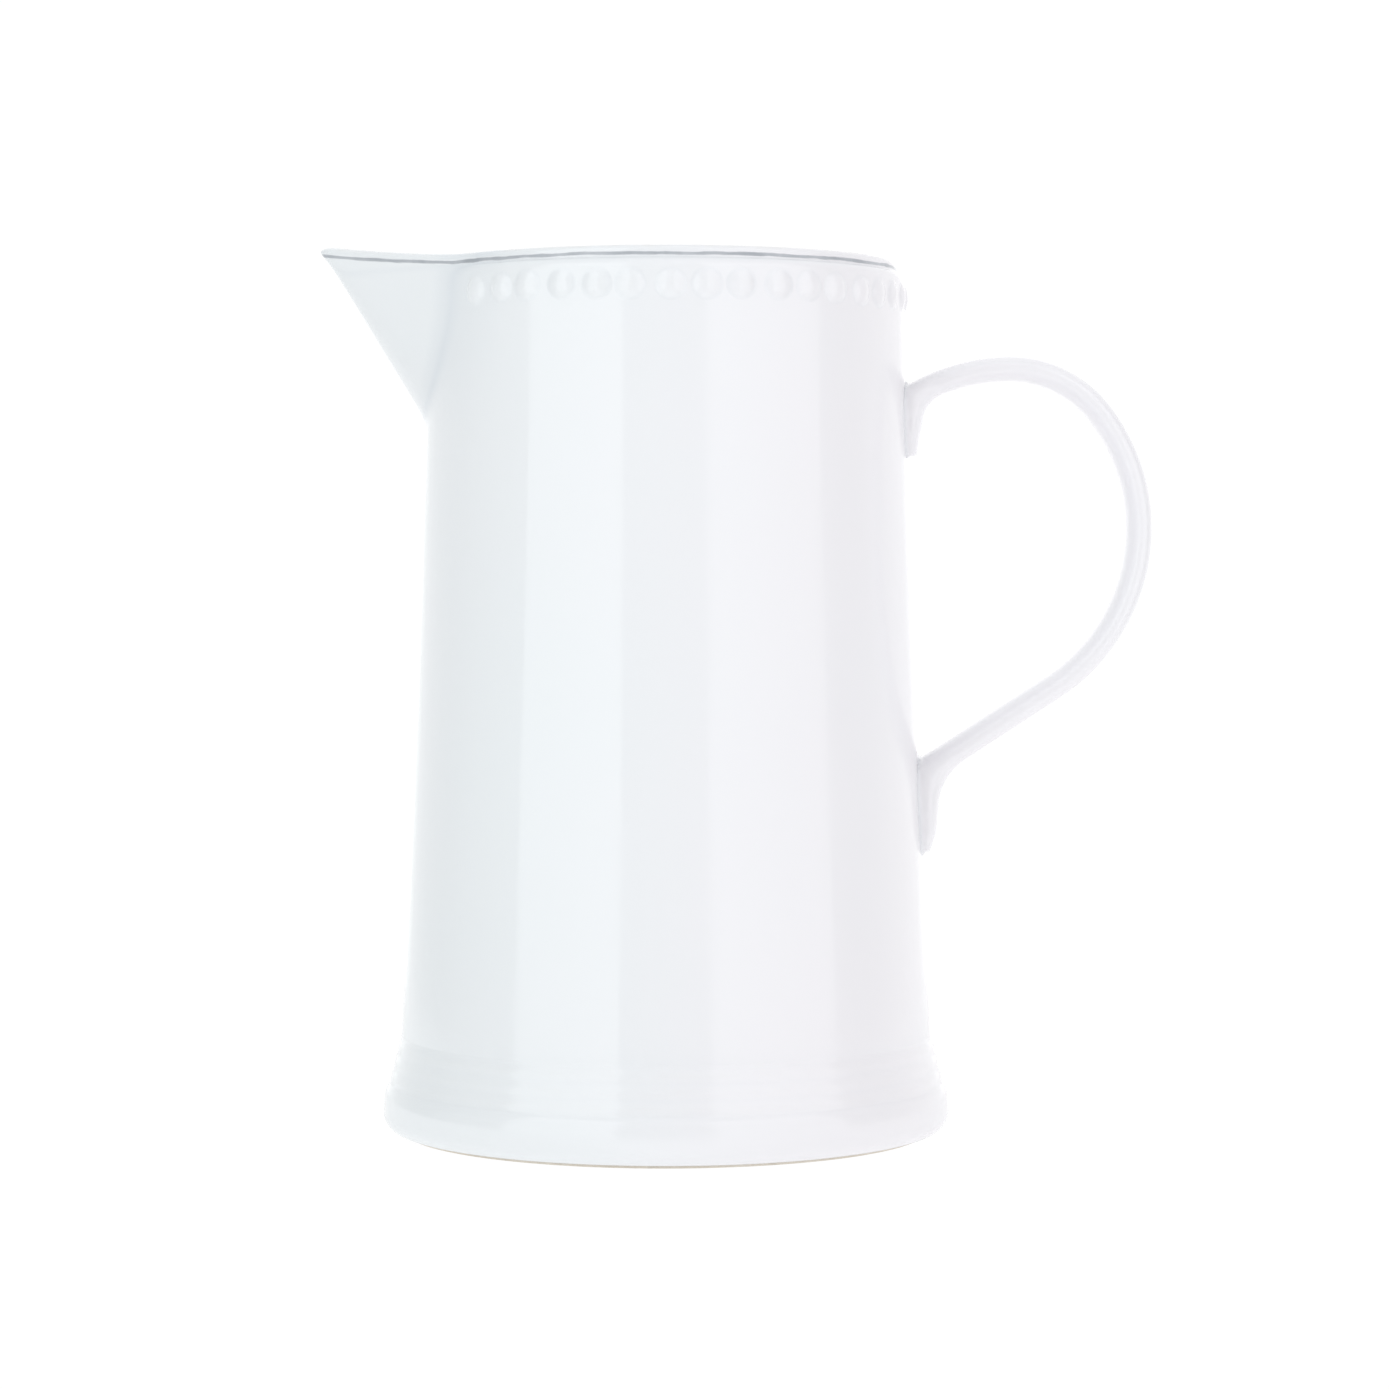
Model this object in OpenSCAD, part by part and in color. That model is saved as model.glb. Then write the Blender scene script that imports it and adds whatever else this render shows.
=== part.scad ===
// A tall, tapered ceramic pitcher with a folded V spout, a strap handle, a row of
// raised beads under the rim, a painted line round the lip and a ribbed plinth.
// Frame: the origin is on the body's axis at table level, +Z is up, the spout
// points along -X and the handle along +X. All sizes are in millimetres.

/* [Body] */
// Height from the table to the top of the rim
rim_h = 238; // [200:1:290]
// Outside diameter of the neck, just under the rim
neck_d = 130.8; // [112:0.2:160]
// Outside diameter of the wall where it rises out of the plinth
waist_d = 145.8; // [134:0.2:180]
// How the wall tapers: 1 is a straight cone, more bows it in toward the neck
taper_bow = 1.3; // [1:0.05:1.6]
// Height of the straight neck above the taper
neck_h = 16; // [16:0.5:30]
// Thickness of the wall
wall_t = 5; // [3.5:0.1:6.5]

/* [Base] */
// Height of the plinth band
plinth_h = 26; // [20:0.5:36]
// How far the plinth stands out from the wall at its widest
plinth_out = 3.9; // [2.5:0.1:8]
// Height of the smooth rounded band at the bottom of the plinth
band_h = 13.6; // [8:0.1:16]
// Number of soft ribs above the smooth band
rib_count = 3; // [1:1:5]
// How far each rib swells out between its grooves
rib_swell = 0.6; // [0.2:0.1:1.5]
// Gap between the table and the bottom edge of the plinth
plinth_lift = 1; // [0.4:0.1:2]
// Height of the bare ring that the pitcher stands on
foot_h = 3; // [2.5:0.1:5]
// Width of the bare ring
foot_w = 9; // [7:0.5:14]
// How far the bare ring is set in from the outside of the wall
foot_inset = 1.5; // [0.5:0.1:3]
// Thickness of the floor at its middle
floor_t = 6; // [4:0.5:9]
// Radius of the cove between the floor and the wall
cove_r = 10; // [4:0.5:16]

/* [Rim] */
// Height of the lip above the wall
lip_h = 3.2; // [3:0.1:5]
// Height of the rounded top of the lip
lip_round = 1.4; // [0.8:0.1:1.6]
// How far the wall turns in above the beads, up to the lip
shoulder_in = 2.1; // [1:0.1:2.6]
// Height of that turn
shoulder_h = 3.6; // [2:0.1:5]
// Width of the painted line, measured up the lip
line_h = 0.95; // [0.6:0.05:1.2]
// Distance from the top of the lip down to the painted line
line_drop = 1.75; // [1.7:0.05:1.9]
// Depth that the painted line is inlaid
line_t = 0.6; // [0.3:0.05:1]

/* [Beads] */
// Diameter of one bead
bead_d = 8; // [5:0.2:9.6]
// How far a bead stands out from the neck
bead_rise = 1.2; // [0.6:0.1:2]
// Distance from the top of the rim down to the middle of the beads
bead_drop = 10.4; // [9:0.2:13]
// Gap between two neighbouring beads
bead_gap = 1.6; // [0.5:0.1:4]
// Clear distance from the spout's seam to the nearest bead
bead_from_spout = 6.5; // [2:0.5:20]

/* [Spout] */
// How far the tip stands out from the neck
spout_out = 29.3; // [20:0.1:38]
// How far the tip stands above the rim
spout_rise = 4.4; // [1:0.1:8]
// Distance from the tip down to the lowest point of the spout's seam
spout_drop = 48.2; // [36:0.2:60]
// Width of the spout where its sides meet the lip
spout_w = 75.6; // [62:0.1:76]
// Bluntness of the spout's keel for each millimetre below its tip
spout_blunt = 0.52; // [0.35:0.01:0.6]
// How the spout's edge climbs to the tip: 1 is straight, more is hollow
edge_bow = 1.3; // [1:0.05:2]
// Thickness of the spout's sides
spout_t = 4; // [3:0.1:5]
// Half of the width cut out of the wall behind the spout
mouth_half_w = 29; // [20:0.5:30]

/* [Handle] */
// Distance from the wall to the outermost point of the handle
handle_out = 66.6; // [56:0.2:80]
// Distance from the top of the rim down to the middle of the grip
handle_drop = 72.8; // [66:0.2:90]
// Outside radius of the long grip curve
grip_r = 55.5; // [48:0.5:66]
// Outside radius of the tighter curve at the top
crown_r = 34.9; // [30:0.1:42]
// Outside radius of the curve that runs back to the wall
inlet_r = 55; // [46:0.5:66]
// Where the grip curve meets the top curve, in degrees above level
crown_turn = 38; // [30:1:46]
// Where the grip curve meets the straight, in degrees below level
grip_turn = 57; // [50:1:64]
// Thickness of the strap
strap_t = 7.4; // [5:0.1:9]
// Width of the strap
strap_w = 22; // [16:0.5:28]
// Thickness of the two tails pressed on to the wall
tail_t = 5; // [3:0.1:7]
// How far each tail stands out round the end of the strap
tail_margin = 1; // [0.5:0.1:3]
// Distance that the upper tail runs down the wall below the strap
upper_tail_run = 15; // [12:0.5:24]
// Distance that the lower tail runs down the wall below the strap
lower_tail_run = 21; // [12:0.5:30]

/* [Hidden] */
$fn = 128;

GLAZE = [0.95, 0.96, 0.97];
LINE_BLUE = [0.62, 0.64, 0.69];
BARE_CLAY = [0.87, 0.83, 0.76];

// Steps along each curved outline
wall_steps = 10;
arc_steps = 8;
rib_steps = 6;
cone_steps = 20;
edge_steps = 4;
// Degrees that the strap turns between two of its rings
turn_per_ring = 4;
// How far a cutter runs past what it cuts
over = 2;

neck_r = neck_d / 2;
waist_r = waist_d / 2;
taper_top = rim_h - neck_h;
lip_z = rim_h - lip_h;
shoulder_z = lip_z - shoulder_h;
lip_out = neck_r - shoulder_in;
lip_in = neck_r - wall_t;
line_top = rim_h - line_drop;
line_low = line_top - line_h;
line_in = lip_out - line_t;

// The same list of points in the opposite order
function flip(points) = [for (i = [len(points) - 1 : -1 : 0]) points[i]];

// ---- the outline of the body ----

// Outside radius of the body at height z, as a smooth curve
function wall_r(z) =
    let (t = max(0, (taper_top - z) / (taper_top - plinth_h)))
    neck_r + (waist_r - neck_r) * pow(t, taper_bow);

// Height of one of the levels at which the outline bends
function level(i) = foot_h + (taper_top - foot_h) * i / wall_steps;

// Outside radius of the body at height z, along the straight runs between levels
function side_r(z) =
    let (
        i = floor((z - foot_h) / (level(1) - foot_h)),
        k = min(max(i, 0), wall_steps - 1),
        t = (z - level(k)) / (level(k + 1) - level(k))
    )
    z >= taper_top ? neck_r : wall_r(level(k)) * (1 - t) + wall_r(level(k + 1)) * t;

// The side of the body from height low to height high, moved out by grow
function side(low, high, grow = 0) = concat(
    [[side_r(low) + grow, low]],
    [for (i = [0 : wall_steps]) if (level(i) > low && level(i) < high)
        [side_r(level(i)) + grow, level(i)]],
    [[side_r(high) + grow, high]]
);

// The turn from the neck in to the lip, a quarter of an ellipse
function shoulder(grow = 0) = [
    for (i = [0 : arc_steps])
        let (a = 90 * i / arc_steps)
        [lip_out + shoulder_in * cos(a) + grow, shoulder_z + shoulder_h * sin(a)]
];

// A solid with the outside shape of the body, moved out by grow. Its lip is carried
// straight up, so that it also trims what stands higher than the rim.
module envelope(grow = 0) {
    top = rim_h + spout_rise + over;
    rotate_extrude()
        polygon(concat(
            [[0, 0], [side_r(foot_h) + grow, 0]],
            side(foot_h, taper_top, grow),
            shoulder(grow),
            [[lip_out + grow, top], [0, top]]
        ));
}

// ---- the shape of the spout: a cone whose level sections are all one hyperbola ----

tip_x = -(neck_r + spout_out);
tip_z = rim_h + spout_rise;
root_z = tip_z - spout_drop;
// How far the keel runs in toward the axis for each millimetre down
keel_run = (-tip_x - wall_r(root_z)) / spout_drop;
// The cone's point lies a little above the tip, which leaves the tip rounded
tip_round = 2;
apex = [tip_x - keel_run * tip_round, 0, tip_z + tip_round];
// How far the cone's sides spread for each millimetre in from the keel, set so that
// they meet the lip where the spout is spout_w wide
lip_run = -sqrt(pow(lip_out, 2) - pow(spout_w / 2, 2)) - apex[0] - keel_run * (apex[2] - rim_h);
spout_spread = sqrt(pow(spout_w / 2, 2) - 2 * spout_blunt * (apex[2] - rim_h) * lip_run) / lip_run;
// The cone reaches down to end inside the body, and in to clip_x
cone_depth = spout_drop + tip_round + 1.5 * wall_t;
clip_x = -0.53 * neck_r;

// The cone's hyperbola at its lowest section, and how far along it the points go
hyper_a = spout_blunt * cone_depth / pow(spout_spread, 2);
hyper_b = spout_blunt * cone_depth / spout_spread;
run_max = (clip_x - apex[0]) * cone_depth / tip_round;
hyper_max = ln(2 * (1 + run_max / hyper_a));

// How far a side moves along X for each millimetre of thickness
side_shift = sqrt(1 + pow(spout_spread, 2)) / spout_spread;

// Where the seam between spout and body is at height z, as [x, half width]
function seam(z) =
    let (
        d = apex[2] - z,
        nose = apex[0] + keel_run * d,
        a = 1 + pow(spout_spread, 2),
        b = 2 * (nose + spout_blunt * d),
        c = pow(nose, 2) - pow(wall_r(z), 2),
        run = (-b - sqrt(b * b - 4 * a * c)) / (2 * a)
    )
    [nose + run, sqrt(2 * spout_blunt * d * run + pow(spout_spread * run, 2))];

// The cone on the spout's side of clip_x, moved in toward the axis by shift
module spout_cone(shift = 0) {
    foot = [
        for (i = [-cone_steps : cone_steps])
            let (e = exp(hyper_max * i / cone_steps))
            [
                apex[0] + keel_run * cone_depth + hyper_a * ((e + 1 / e) / 2 - 1),
                hyper_b * (e - 1 / e) / 2,
                apex[2] - cone_depth
            ]
    ];
    n = len(foot);
    reach = clip_x - tip_x + tip_round + shift;
    intersection() {
        translate([shift, 0, 0])
            polyhedron(
                points = concat([apex], foot),
                faces = concat([flip([for (i = [1 : n]) i])], [for (i = [1 : n]) [0, i, i % n + 1]])
            );
        translate([clip_x - reach, -neck_r, apex[2] - cone_depth])
            cube([reach, 2 * neck_r, cone_depth]);
    }
}

// Height of the spout's top edge at x: level with the rim, then climbing to the tip
function edge_z(x) =
    let (start = seam(shoulder_z)[0], u = max(0, (start - x) / (start - tip_x)))
    rim_h + spout_rise * pow(u, edge_bow);

// The space between two depths below the spout's top edge
module under_edge(upper, lower) {
    far_x = apex[0] - over;
    edge = [
        for (i = [0 : arc_steps])
            let (x = far_x + (clip_x - far_x) * i / arc_steps)
            [x, edge_z(x)]
    ];
    rotate([90, 0, 0])
        linear_extrude(height = 3 * neck_r, center = true)
            polygon(concat(
                [for (p = edge) [p[0], p[1] - upper]],
                [for (p = flip(edge)) [p[0], p[1] - lower]]
            ));
}

// The painted line's inlay along both sides of the spout
module spout_line_shape() {
    difference() {
        intersection() {
            spout_cone();
            under_edge(line_drop, line_drop + line_h);
        }
        spout_cone(line_t * side_shift);
        envelope();
    }
}

// What is cut out of the wall and the lip behind the spout
module mouth_cut() {
    intersection() {
        spout_cone(spout_t * side_shift);
        translate([tip_x, -mouth_half_w, apex[2] - cone_depth])
            cube([clip_x - tip_x, 2 * mouth_half_w, cone_depth]);
    }
}

// ---- the body ----

module body_wall() {
    color(GLAZE)
        difference() {
            rotate_extrude()
                polygon(concat(
                    side(foot_h, taper_top),
                    shoulder(),
                    [[lip_in, lip_z]],
                    flip(side(foot_h, taper_top, -wall_t))
                ));
            mouth_cut();
        }
}

module base_floor() {
    floor_z = foot_h + floor_t;
    cove_z = floor_z + cove_r;
    inner_r = side_r(cove_z) - wall_t;
    color(GLAZE)
        rotate_extrude()
            polygon(concat(
                [[0, floor_z], [0, foot_h]],
                side(foot_h, cove_z, -wall_t),
                [for (i = [1 : arc_steps])
                    let (a = 90 * i / arc_steps)
                    [inner_r - cove_r * (1 - cos(a)), cove_z - cove_r * sin(a)]]
            ));
}

foot_out = side_r(foot_h) - foot_inset;

module foot_ring() {
    foot_in = foot_out - foot_w;
    ease = 0.6;
    color(BARE_CLAY)
        rotate_extrude()
            polygon([
                [foot_in, foot_h],
                [foot_in, ease],
                [foot_in + ease, 0],
                [foot_out - ease, 0],
                [foot_out, ease],
                [foot_out, foot_h],
            ]);
}

// Radius of the plinth at height z: soft ribs over a smooth rounded band
function plinth_r(z) =
    let (
        rib_h = (plinth_h - band_h) / rib_count,
        groove_out = 0.65 * plinth_out,
        band_mid = (band_h + plinth_lift) / 2,
        band_half = (band_h - plinth_lift) / 2,
        t = abs(z - band_mid) / band_half,
        drop = z > band_mid ? plinth_out - groove_out : plinth_out - 0.2 * plinth_out
    )
    z > band_h
        ? side_r(z)
            + groove_out * (plinth_h - z) / (plinth_h - band_h)
            + rib_swell * abs(sin(180 * (plinth_h - z) / rib_h))
        : side_r(z) + plinth_out - drop * pow(t, 3.5);

module plinth_band() {
    rib_levels = rib_count * rib_steps;
    color(GLAZE)
        rotate_extrude()
            polygon(concat(
                [[foot_out, foot_h]],
                [[foot_out, plinth_lift]],
                [for (i = [0 : 2 * arc_steps])
                    let (z = plinth_lift + (band_h - plinth_lift) * i / (2 * arc_steps))
                    [plinth_r(z), z]],
                [for (i = [1 : rib_levels])
                    let (z = band_h + (plinth_h - band_h) * i / rib_levels)
                    if (i < rib_levels) [plinth_r(z), z]],
                flip(side(foot_h, plinth_h))
            ));
}

// ---- the rim ----

// The painted line round the lip, which ends where the spout begins
module rim_line_shape() {
    difference() {
        rotate_extrude()
            polygon([
                [line_in, line_low],
                [lip_out, line_low],
                [lip_out, line_top],
                [line_in, line_top],
            ]);
        spout_cone();
    }
}

module rim_lip() {
    mid_r = (lip_out + lip_in) / 2;
    half_t = (lip_out - lip_in) / 2;
    round_z = rim_h - lip_round;
    color(GLAZE)
        difference() {
            rotate_extrude()
                polygon(concat(
                    [[lip_in, lip_z], [lip_out, lip_z]],
                    [for (i = [0 : arc_steps])
                        let (a = 180 * i / arc_steps)
                        [mid_r + half_t * cos(a), round_z + lip_round * sin(a)]]
                ));
            rim_line_shape();
            mouth_cut();
        }
}

module rim_line() {
    color(LINE_BLUE) rim_line_shape();
}

// ---- the beads ----

// The beads go from one side of the spout, past the handle, to the other side
module bead_row() {
    bead_z = rim_h - bead_drop;
    degree = neck_r * PI / 180;
    edge = seam(bead_z);
    first = atan2(edge[1], -edge[0]) + (bead_from_spout + bead_d / 2) / degree;
    turn = 360 - 2 * first;
    gaps = round(turn * degree / (bead_d + bead_gap));
    color(GLAZE)
        for (i = [0 : gaps])
            rotate([0, 0, 180 + first + turn * i / gaps])
                translate([0, 0, bead_z])
                    bead();
}

// One bead: a low dome on the neck, cut from a ball
module bead() {
    ball_r = (pow(bead_d / 2, 2) + pow(bead_rise, 2)) / (2 * bead_rise);
    difference() {
        translate([neck_r + bead_rise - ball_r, 0, 0])
            sphere(ball_r);
        translate([0, 0, -bead_d])
            cylinder(h = 2 * bead_d, r = neck_r, $fn = 6 * $fn);
    }
}

// ---- the spout ----

module spout() {
    color(GLAZE)
        difference() {
            intersection() {
                spout_cone();
                under_edge(0, cone_depth + spout_rise);
            }
            spout_cone(spout_t * side_shift);
            spout_line_shape();
            envelope();
        }
}

module spout_line() {
    color(LINE_BLUE) spout_line_shape();
}

// ---- the handle: three arcs and a straight, all in the XZ plane ----

grip_z = rim_h - handle_drop;
grip_c = [wall_r(grip_z) + handle_out - grip_r, grip_z];
crown_c = grip_c + (grip_r - crown_r) * [cos(crown_turn), sin(crown_turn)];
inlet_c = crown_c - [0, inlet_r - crown_r];

// Height at x of the straight's lower face, or of its upper face with up = strap_t
function straight_z(x, up = 0) =
    let (p = grip_c + (grip_r - up) * [cos(grip_turn), -sin(grip_turn)])
    p[1] - (p[0] - x) / tan(grip_turn);

// Height at x of the inlet curve's upper face, or of its lower face with down = strap_t
function inlet_z(x, down = 0) =
    inlet_c[1] + sqrt(pow(inlet_r - down, 2) - pow(x - inlet_c[0], 2));

// Where the strap leaves each tail: the tails are sized from these
upper_low = inlet_z(neck_r + tail_t, strap_t);
upper_high = inlet_z(neck_r);
lower_guess = straight_z(neck_r + tail_t);
lower_low = straight_z(wall_r(lower_guess) + tail_t);
lower_high = straight_z(wall_r(lower_guess), strap_t);

// The strap's section: flat faces with full round edges, as [across its thickness, y]
strap_points = [
    for (side = [1, -1], i = [0 : edge_steps])
        let (a = (side > 0 ? 0 : 180) + 180 * i / edge_steps)
        strap_t / 2 * [cos(a), sin(a)] + [0, side * (strap_w - strap_t) / 2]
];

// Stations along an arc of the strap, as [centre of the arc, radius, angle]
function strap_arc(centre, r, from, to) =
    let (n = ceil((to - from) / turn_per_ring))
    [for (i = [1 : n]) [centre, r - strap_t / 2, from + (to - from) * i / n]];

// One ring of the strap at a station
function strap_ring(station) = [
    for (p = strap_points)
        let (r = station[1] + p[0], a = station[2])
        [station[0][0] + r * cos(a), p[1], station[0][1] + r * sin(a)]
];

module handle_strap() {
    // The straight and the inlet curve both run on past the face of the tails
    straight_l = (grip_c[0] + grip_r * cos(grip_turn) - neck_r) / sin(grip_turn);
    straight_end = grip_c - straight_l * [sin(grip_turn), cos(grip_turn)];
    inlet_turn = 90 + asin((inlet_c[0] - neck_r) / (inlet_r - strap_t));
    stations = concat(
        [for (c = [straight_end, grip_c]) [c, grip_r - strap_t / 2, -grip_turn]],
        strap_arc(grip_c, grip_r, -grip_turn, crown_turn),
        strap_arc(crown_c, crown_r, crown_turn, 90),
        strap_arc(inlet_c, inlet_r, 90, inlet_turn)
    );
    n = len(strap_points);
    last = (len(stations) - 1) * n;
    color(GLAZE)
        difference() {
            polyhedron(
                points = [for (s = stations, p = strap_ring(s)) p],
                faces = concat(
                    [[for (i = [0 : n - 1]) i]],
                    [flip([for (i = [0 : n - 1]) last + i])],
                    [for (k = [0 : n : last - n], i = [0 : n - 1])
                        [k + i, k + n + i, k + n + (i + 1) % n, k + (i + 1) % n]]
                )
            );
            envelope(tail_t);
        }
}

// A tail pressed on to the wall: round at its low end, flatter at its top
module tail(low, high) {
    half_w = strap_w / 2 + tail_margin;
    crest = half_w / 2;
    difference() {
        intersection() {
            rotate([90, 0, 90])
                linear_extrude(height = waist_r + 2 * tail_t)
                    polygon(concat(
                        [for (i = [0 : 2 * arc_steps])
                            let (a = 180 + 180 * i / (2 * arc_steps))
                            [half_w * cos(a), low + half_w * (1 + sin(a))]],
                        [for (i = [0 : 2 * arc_steps])
                            let (a = 180 * i / (2 * arc_steps))
                            [half_w * cos(a), high - crest * (1 - sin(a))]]
                    ));
            envelope(tail_t);
        }
        envelope();
    }
}

module handle_upper_tail() {
    color(GLAZE) tail(upper_low - upper_tail_run, upper_high + tail_margin);
}

module handle_lower_tail() {
    color(GLAZE) tail(lower_low - lower_tail_run, lower_high + tail_margin);
}

body_wall();
base_floor();
foot_ring();
plinth_band();
rim_lip();
rim_line();
bead_row();
spout();
spout_line();
handle_strap();
handle_upper_tail();
handle_lower_tail();
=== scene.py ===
"""The looks of a white glazed pitcher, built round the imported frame.

Every length is in metres, in the frame's own axes: +Z is up, the spout points along -X,
the handle along +X, and the origin is on the pot's axis where it stands.
"""

import logging  # noqa: E402
import math  # noqa: E402
from collections.abc import Callable, Iterable, Sequence  # noqa: E402
from dataclasses import dataclass, field  # noqa: E402
from enum import Enum  # noqa: E402
from functools import cached_property, lru_cache  # noqa: E402
from typing import ClassVar  # noqa: E402

import bmesh  # noqa: E402
import bpy  # noqa: E402
import numpy as np  # noqa: E402
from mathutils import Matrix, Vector, noise  # noqa: E402


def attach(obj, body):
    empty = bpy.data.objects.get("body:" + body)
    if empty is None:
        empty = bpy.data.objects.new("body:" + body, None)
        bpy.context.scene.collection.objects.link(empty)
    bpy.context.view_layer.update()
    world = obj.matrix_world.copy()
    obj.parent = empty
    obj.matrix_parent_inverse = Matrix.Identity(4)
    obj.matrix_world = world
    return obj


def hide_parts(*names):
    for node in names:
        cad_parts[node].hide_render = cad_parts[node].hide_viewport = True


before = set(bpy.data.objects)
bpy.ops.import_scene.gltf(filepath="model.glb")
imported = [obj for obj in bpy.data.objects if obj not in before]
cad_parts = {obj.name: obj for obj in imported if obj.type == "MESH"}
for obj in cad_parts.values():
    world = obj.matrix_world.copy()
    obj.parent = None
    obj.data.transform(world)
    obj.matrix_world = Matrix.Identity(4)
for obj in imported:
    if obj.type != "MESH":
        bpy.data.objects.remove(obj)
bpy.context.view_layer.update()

BODY = "root"
FULL_TURN = 2.0 * math.pi
MERGE_GAP = 1e-7
SHEET_MERGE_GAP = 1e-5
BETWEEN_SIDES = 0.75
WHITE = (1.0, 1.0, 1.0, 1.0)
log = logging.getLogger("pitcher")


class Slot(Enum):
    """The record's material slots."""

    WHITE = "white_glaze"
    LINE = "line_glaze"
    CLAY = "bare_clay"


class Side(Enum):
    """The two faces of a wall, with the radius that marks each before it is shaped.

    BETWEEN_SIDES is halfway between the two, and tells them apart.
    """

    OUTSIDE = 1.0
    INSIDE = 0.5


# ---------------------------------------------------------------- small helpers


def smooth_max(first: float, second: float, reach: float) -> tuple[float, float]:
    """Takes the larger of two lengths, with a soft fillet where they are nearly equal.

    Args:
        first: One length.
        second: The other length.
        reach: The difference at which the fillet begins.

    Returns:
        The blended length, and how deep in the fillet it is, from 0 to 1.
    """
    overlap = max(0.0, 1.0 - abs(first - second) / reach)
    return max(first, second) + reach * overlap * overlap / 4.0, overlap


def ease(value: float, low: float, high: float) -> float:
    """Rises smoothly from 0 to 1 as a value goes from low to high.

    Args:
        value: The value to place.
        low: Where the rise starts.
        high: Where it ends.

    Returns:
        A share from 0 to 1.
    """
    share = min(1.0, max(0.0, (value - low) / (high - low)))
    return share * share * (3.0 - 2.0 * share)


def spaced(low: float, high: float, step: float) -> list[float]:
    """Lists even stops from low up to, and not including, high.

    Args:
        low: The first stop.
        high: The end of the run.
        step: The widest gap between two stops.

    Returns:
        The stops in order.
    """
    count = max(1, math.ceil((high - low) / step - 1e-6))
    return [low + (high - low) * index / count for index in range(count)]


def float_layer(mesh: bmesh.types.BMesh, name: str) -> bmesh.types.BMLayerItem:
    """Gives the vertex layer of that name, made when it isn't there yet."""
    return mesh.verts.layers.float.get(name) or mesh.verts.layers.float.new(name)


def grey_of(level: float) -> tuple[float, float, float, float]:
    """Gives the opaque grey of a level."""
    return (level, level, level, 1.0)


def turn_of(place: Vector) -> float:
    """Gives a place's angle about the axis, from the spout's direction."""
    return math.atan2(place.y, -place.x)


def at_turn(radius: float, angle: float, height: float) -> Vector:
    """Gives the place at a distance from the axis, an angle from the spout and a height."""
    return Vector((-radius * math.cos(angle), radius * math.sin(angle), height))


def spun(mesh: bmesh.types.BMesh, points: Sequence[tuple[float, float]], steps: int, closed: bool) -> None:
    """Turns an outline about the upright axis into a closed surface.

    Args:
        mesh: The mesh to add to.
        points: The outline as (radius, height) pairs.
        steps: How many steps make the full turn.
        closed: Whether the outline's last point joins its first.
    """
    line = [mesh.verts.new((radius, 0.0, height)) for radius, height in points]
    pairs = list(zip(line, line[1:]))
    if closed:
        pairs.append((line[-1], line[0]))
    edges = [mesh.edges.new(pair) for pair in pairs]
    bmesh.ops.spin(
        mesh, geom=line + edges, cent=(0, 0, 0), axis=(0, 0, 1), angle=FULL_TURN, steps=steps, use_merge=True
    )
    bmesh.ops.remove_doubles(mesh, verts=mesh.verts, dist=MERGE_GAP)
    turn_outward(mesh)


def spun_sheets(rows: dict[Side, int], columns: int) -> bmesh.types.BMesh:
    """Turns an upright line for each side of a wall into two sheets, ready to be shaped.

    A point's distance from the axis is its side's mark, and its height is the number of its row.

    Args:
        rows: How many rows each side has.
        columns: How many steps make the full turn.

    Returns:
        The mesh with both sheets.
    """
    mesh = bmesh.new()
    start = []
    for side, count in rows.items():
        verts = [mesh.verts.new((side.value, 0.0, float(index))) for index in range(count)]
        start += verts + [mesh.edges.new(pair) for pair in zip(verts, verts[1:])]
    bmesh.ops.spin(
        mesh, geom=start, cent=(0, 0, 0), axis=(0, 0, 1), angle=FULL_TURN, steps=columns, use_merge=True
    )
    bmesh.ops.remove_doubles(mesh, verts=mesh.verts, dist=SHEET_MERGE_GAP)
    return mesh


def side_of(place: Vector) -> Side:
    """Tells which side an unshaped point of a sheet is on."""
    return Side.OUTSIDE if math.hypot(place.x, place.y) > BETWEEN_SIDES else Side.INSIDE


def open_edges(mesh: bmesh.types.BMesh) -> list[bmesh.types.BMEdge]:
    """Lists the edges of a mesh that have a face on one side only."""
    return [edge for edge in mesh.edges if edge.is_boundary]


def keep_faces(mesh: bmesh.types.BMesh, wanted: Callable[[bmesh.types.BMFace], bool]) -> None:
    """Deletes every face that isn't wanted, with the points that no other face uses."""
    spare = [face for face in mesh.faces if not wanted(face)]
    bmesh.ops.delete(mesh, geom=spare, context="FACES")


def mean_of(face: bmesh.types.BMFace, layer: bmesh.types.BMLayerItem) -> float:
    """Gives the mean of a layer over the corners of a face."""
    return sum(vert[layer] for vert in face.verts) / len(face.verts)


def remember_normals(mesh: bmesh.types.BMesh) -> None:
    """Writes each vertex's normal in a layer, so that a cut piece still shades as the whole did."""
    layer = mesh.verts.layers.float_vector.new("true_normal")
    mesh.normal_update()
    for vert in mesh.verts:
        vert[layer] = vert.normal


def mark_whole(mesh: bmesh.types.BMesh) -> bmesh.types.BMLayerItem:
    """Starts the layer that tells the faces of a cut, which keep flat normals, from the skin."""
    return mesh.faces.layers.int.new("cut")


def cap(faces: Iterable[bmesh.types.BMFace], layer: bmesh.types.BMLayerItem) -> None:
    """Marks faces that close a cut."""
    for face in faces:
        face[layer] = 1


def turn_outward(mesh: bmesh.types.BMesh) -> None:
    """Turns all the faces of a closed mesh outward."""
    bmesh.ops.recalc_face_normals(mesh, faces=mesh.faces)
    if mesh.calc_volume(signed=True) < 0.0:
        bmesh.ops.reverse_faces(mesh, faces=mesh.faces)


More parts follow.
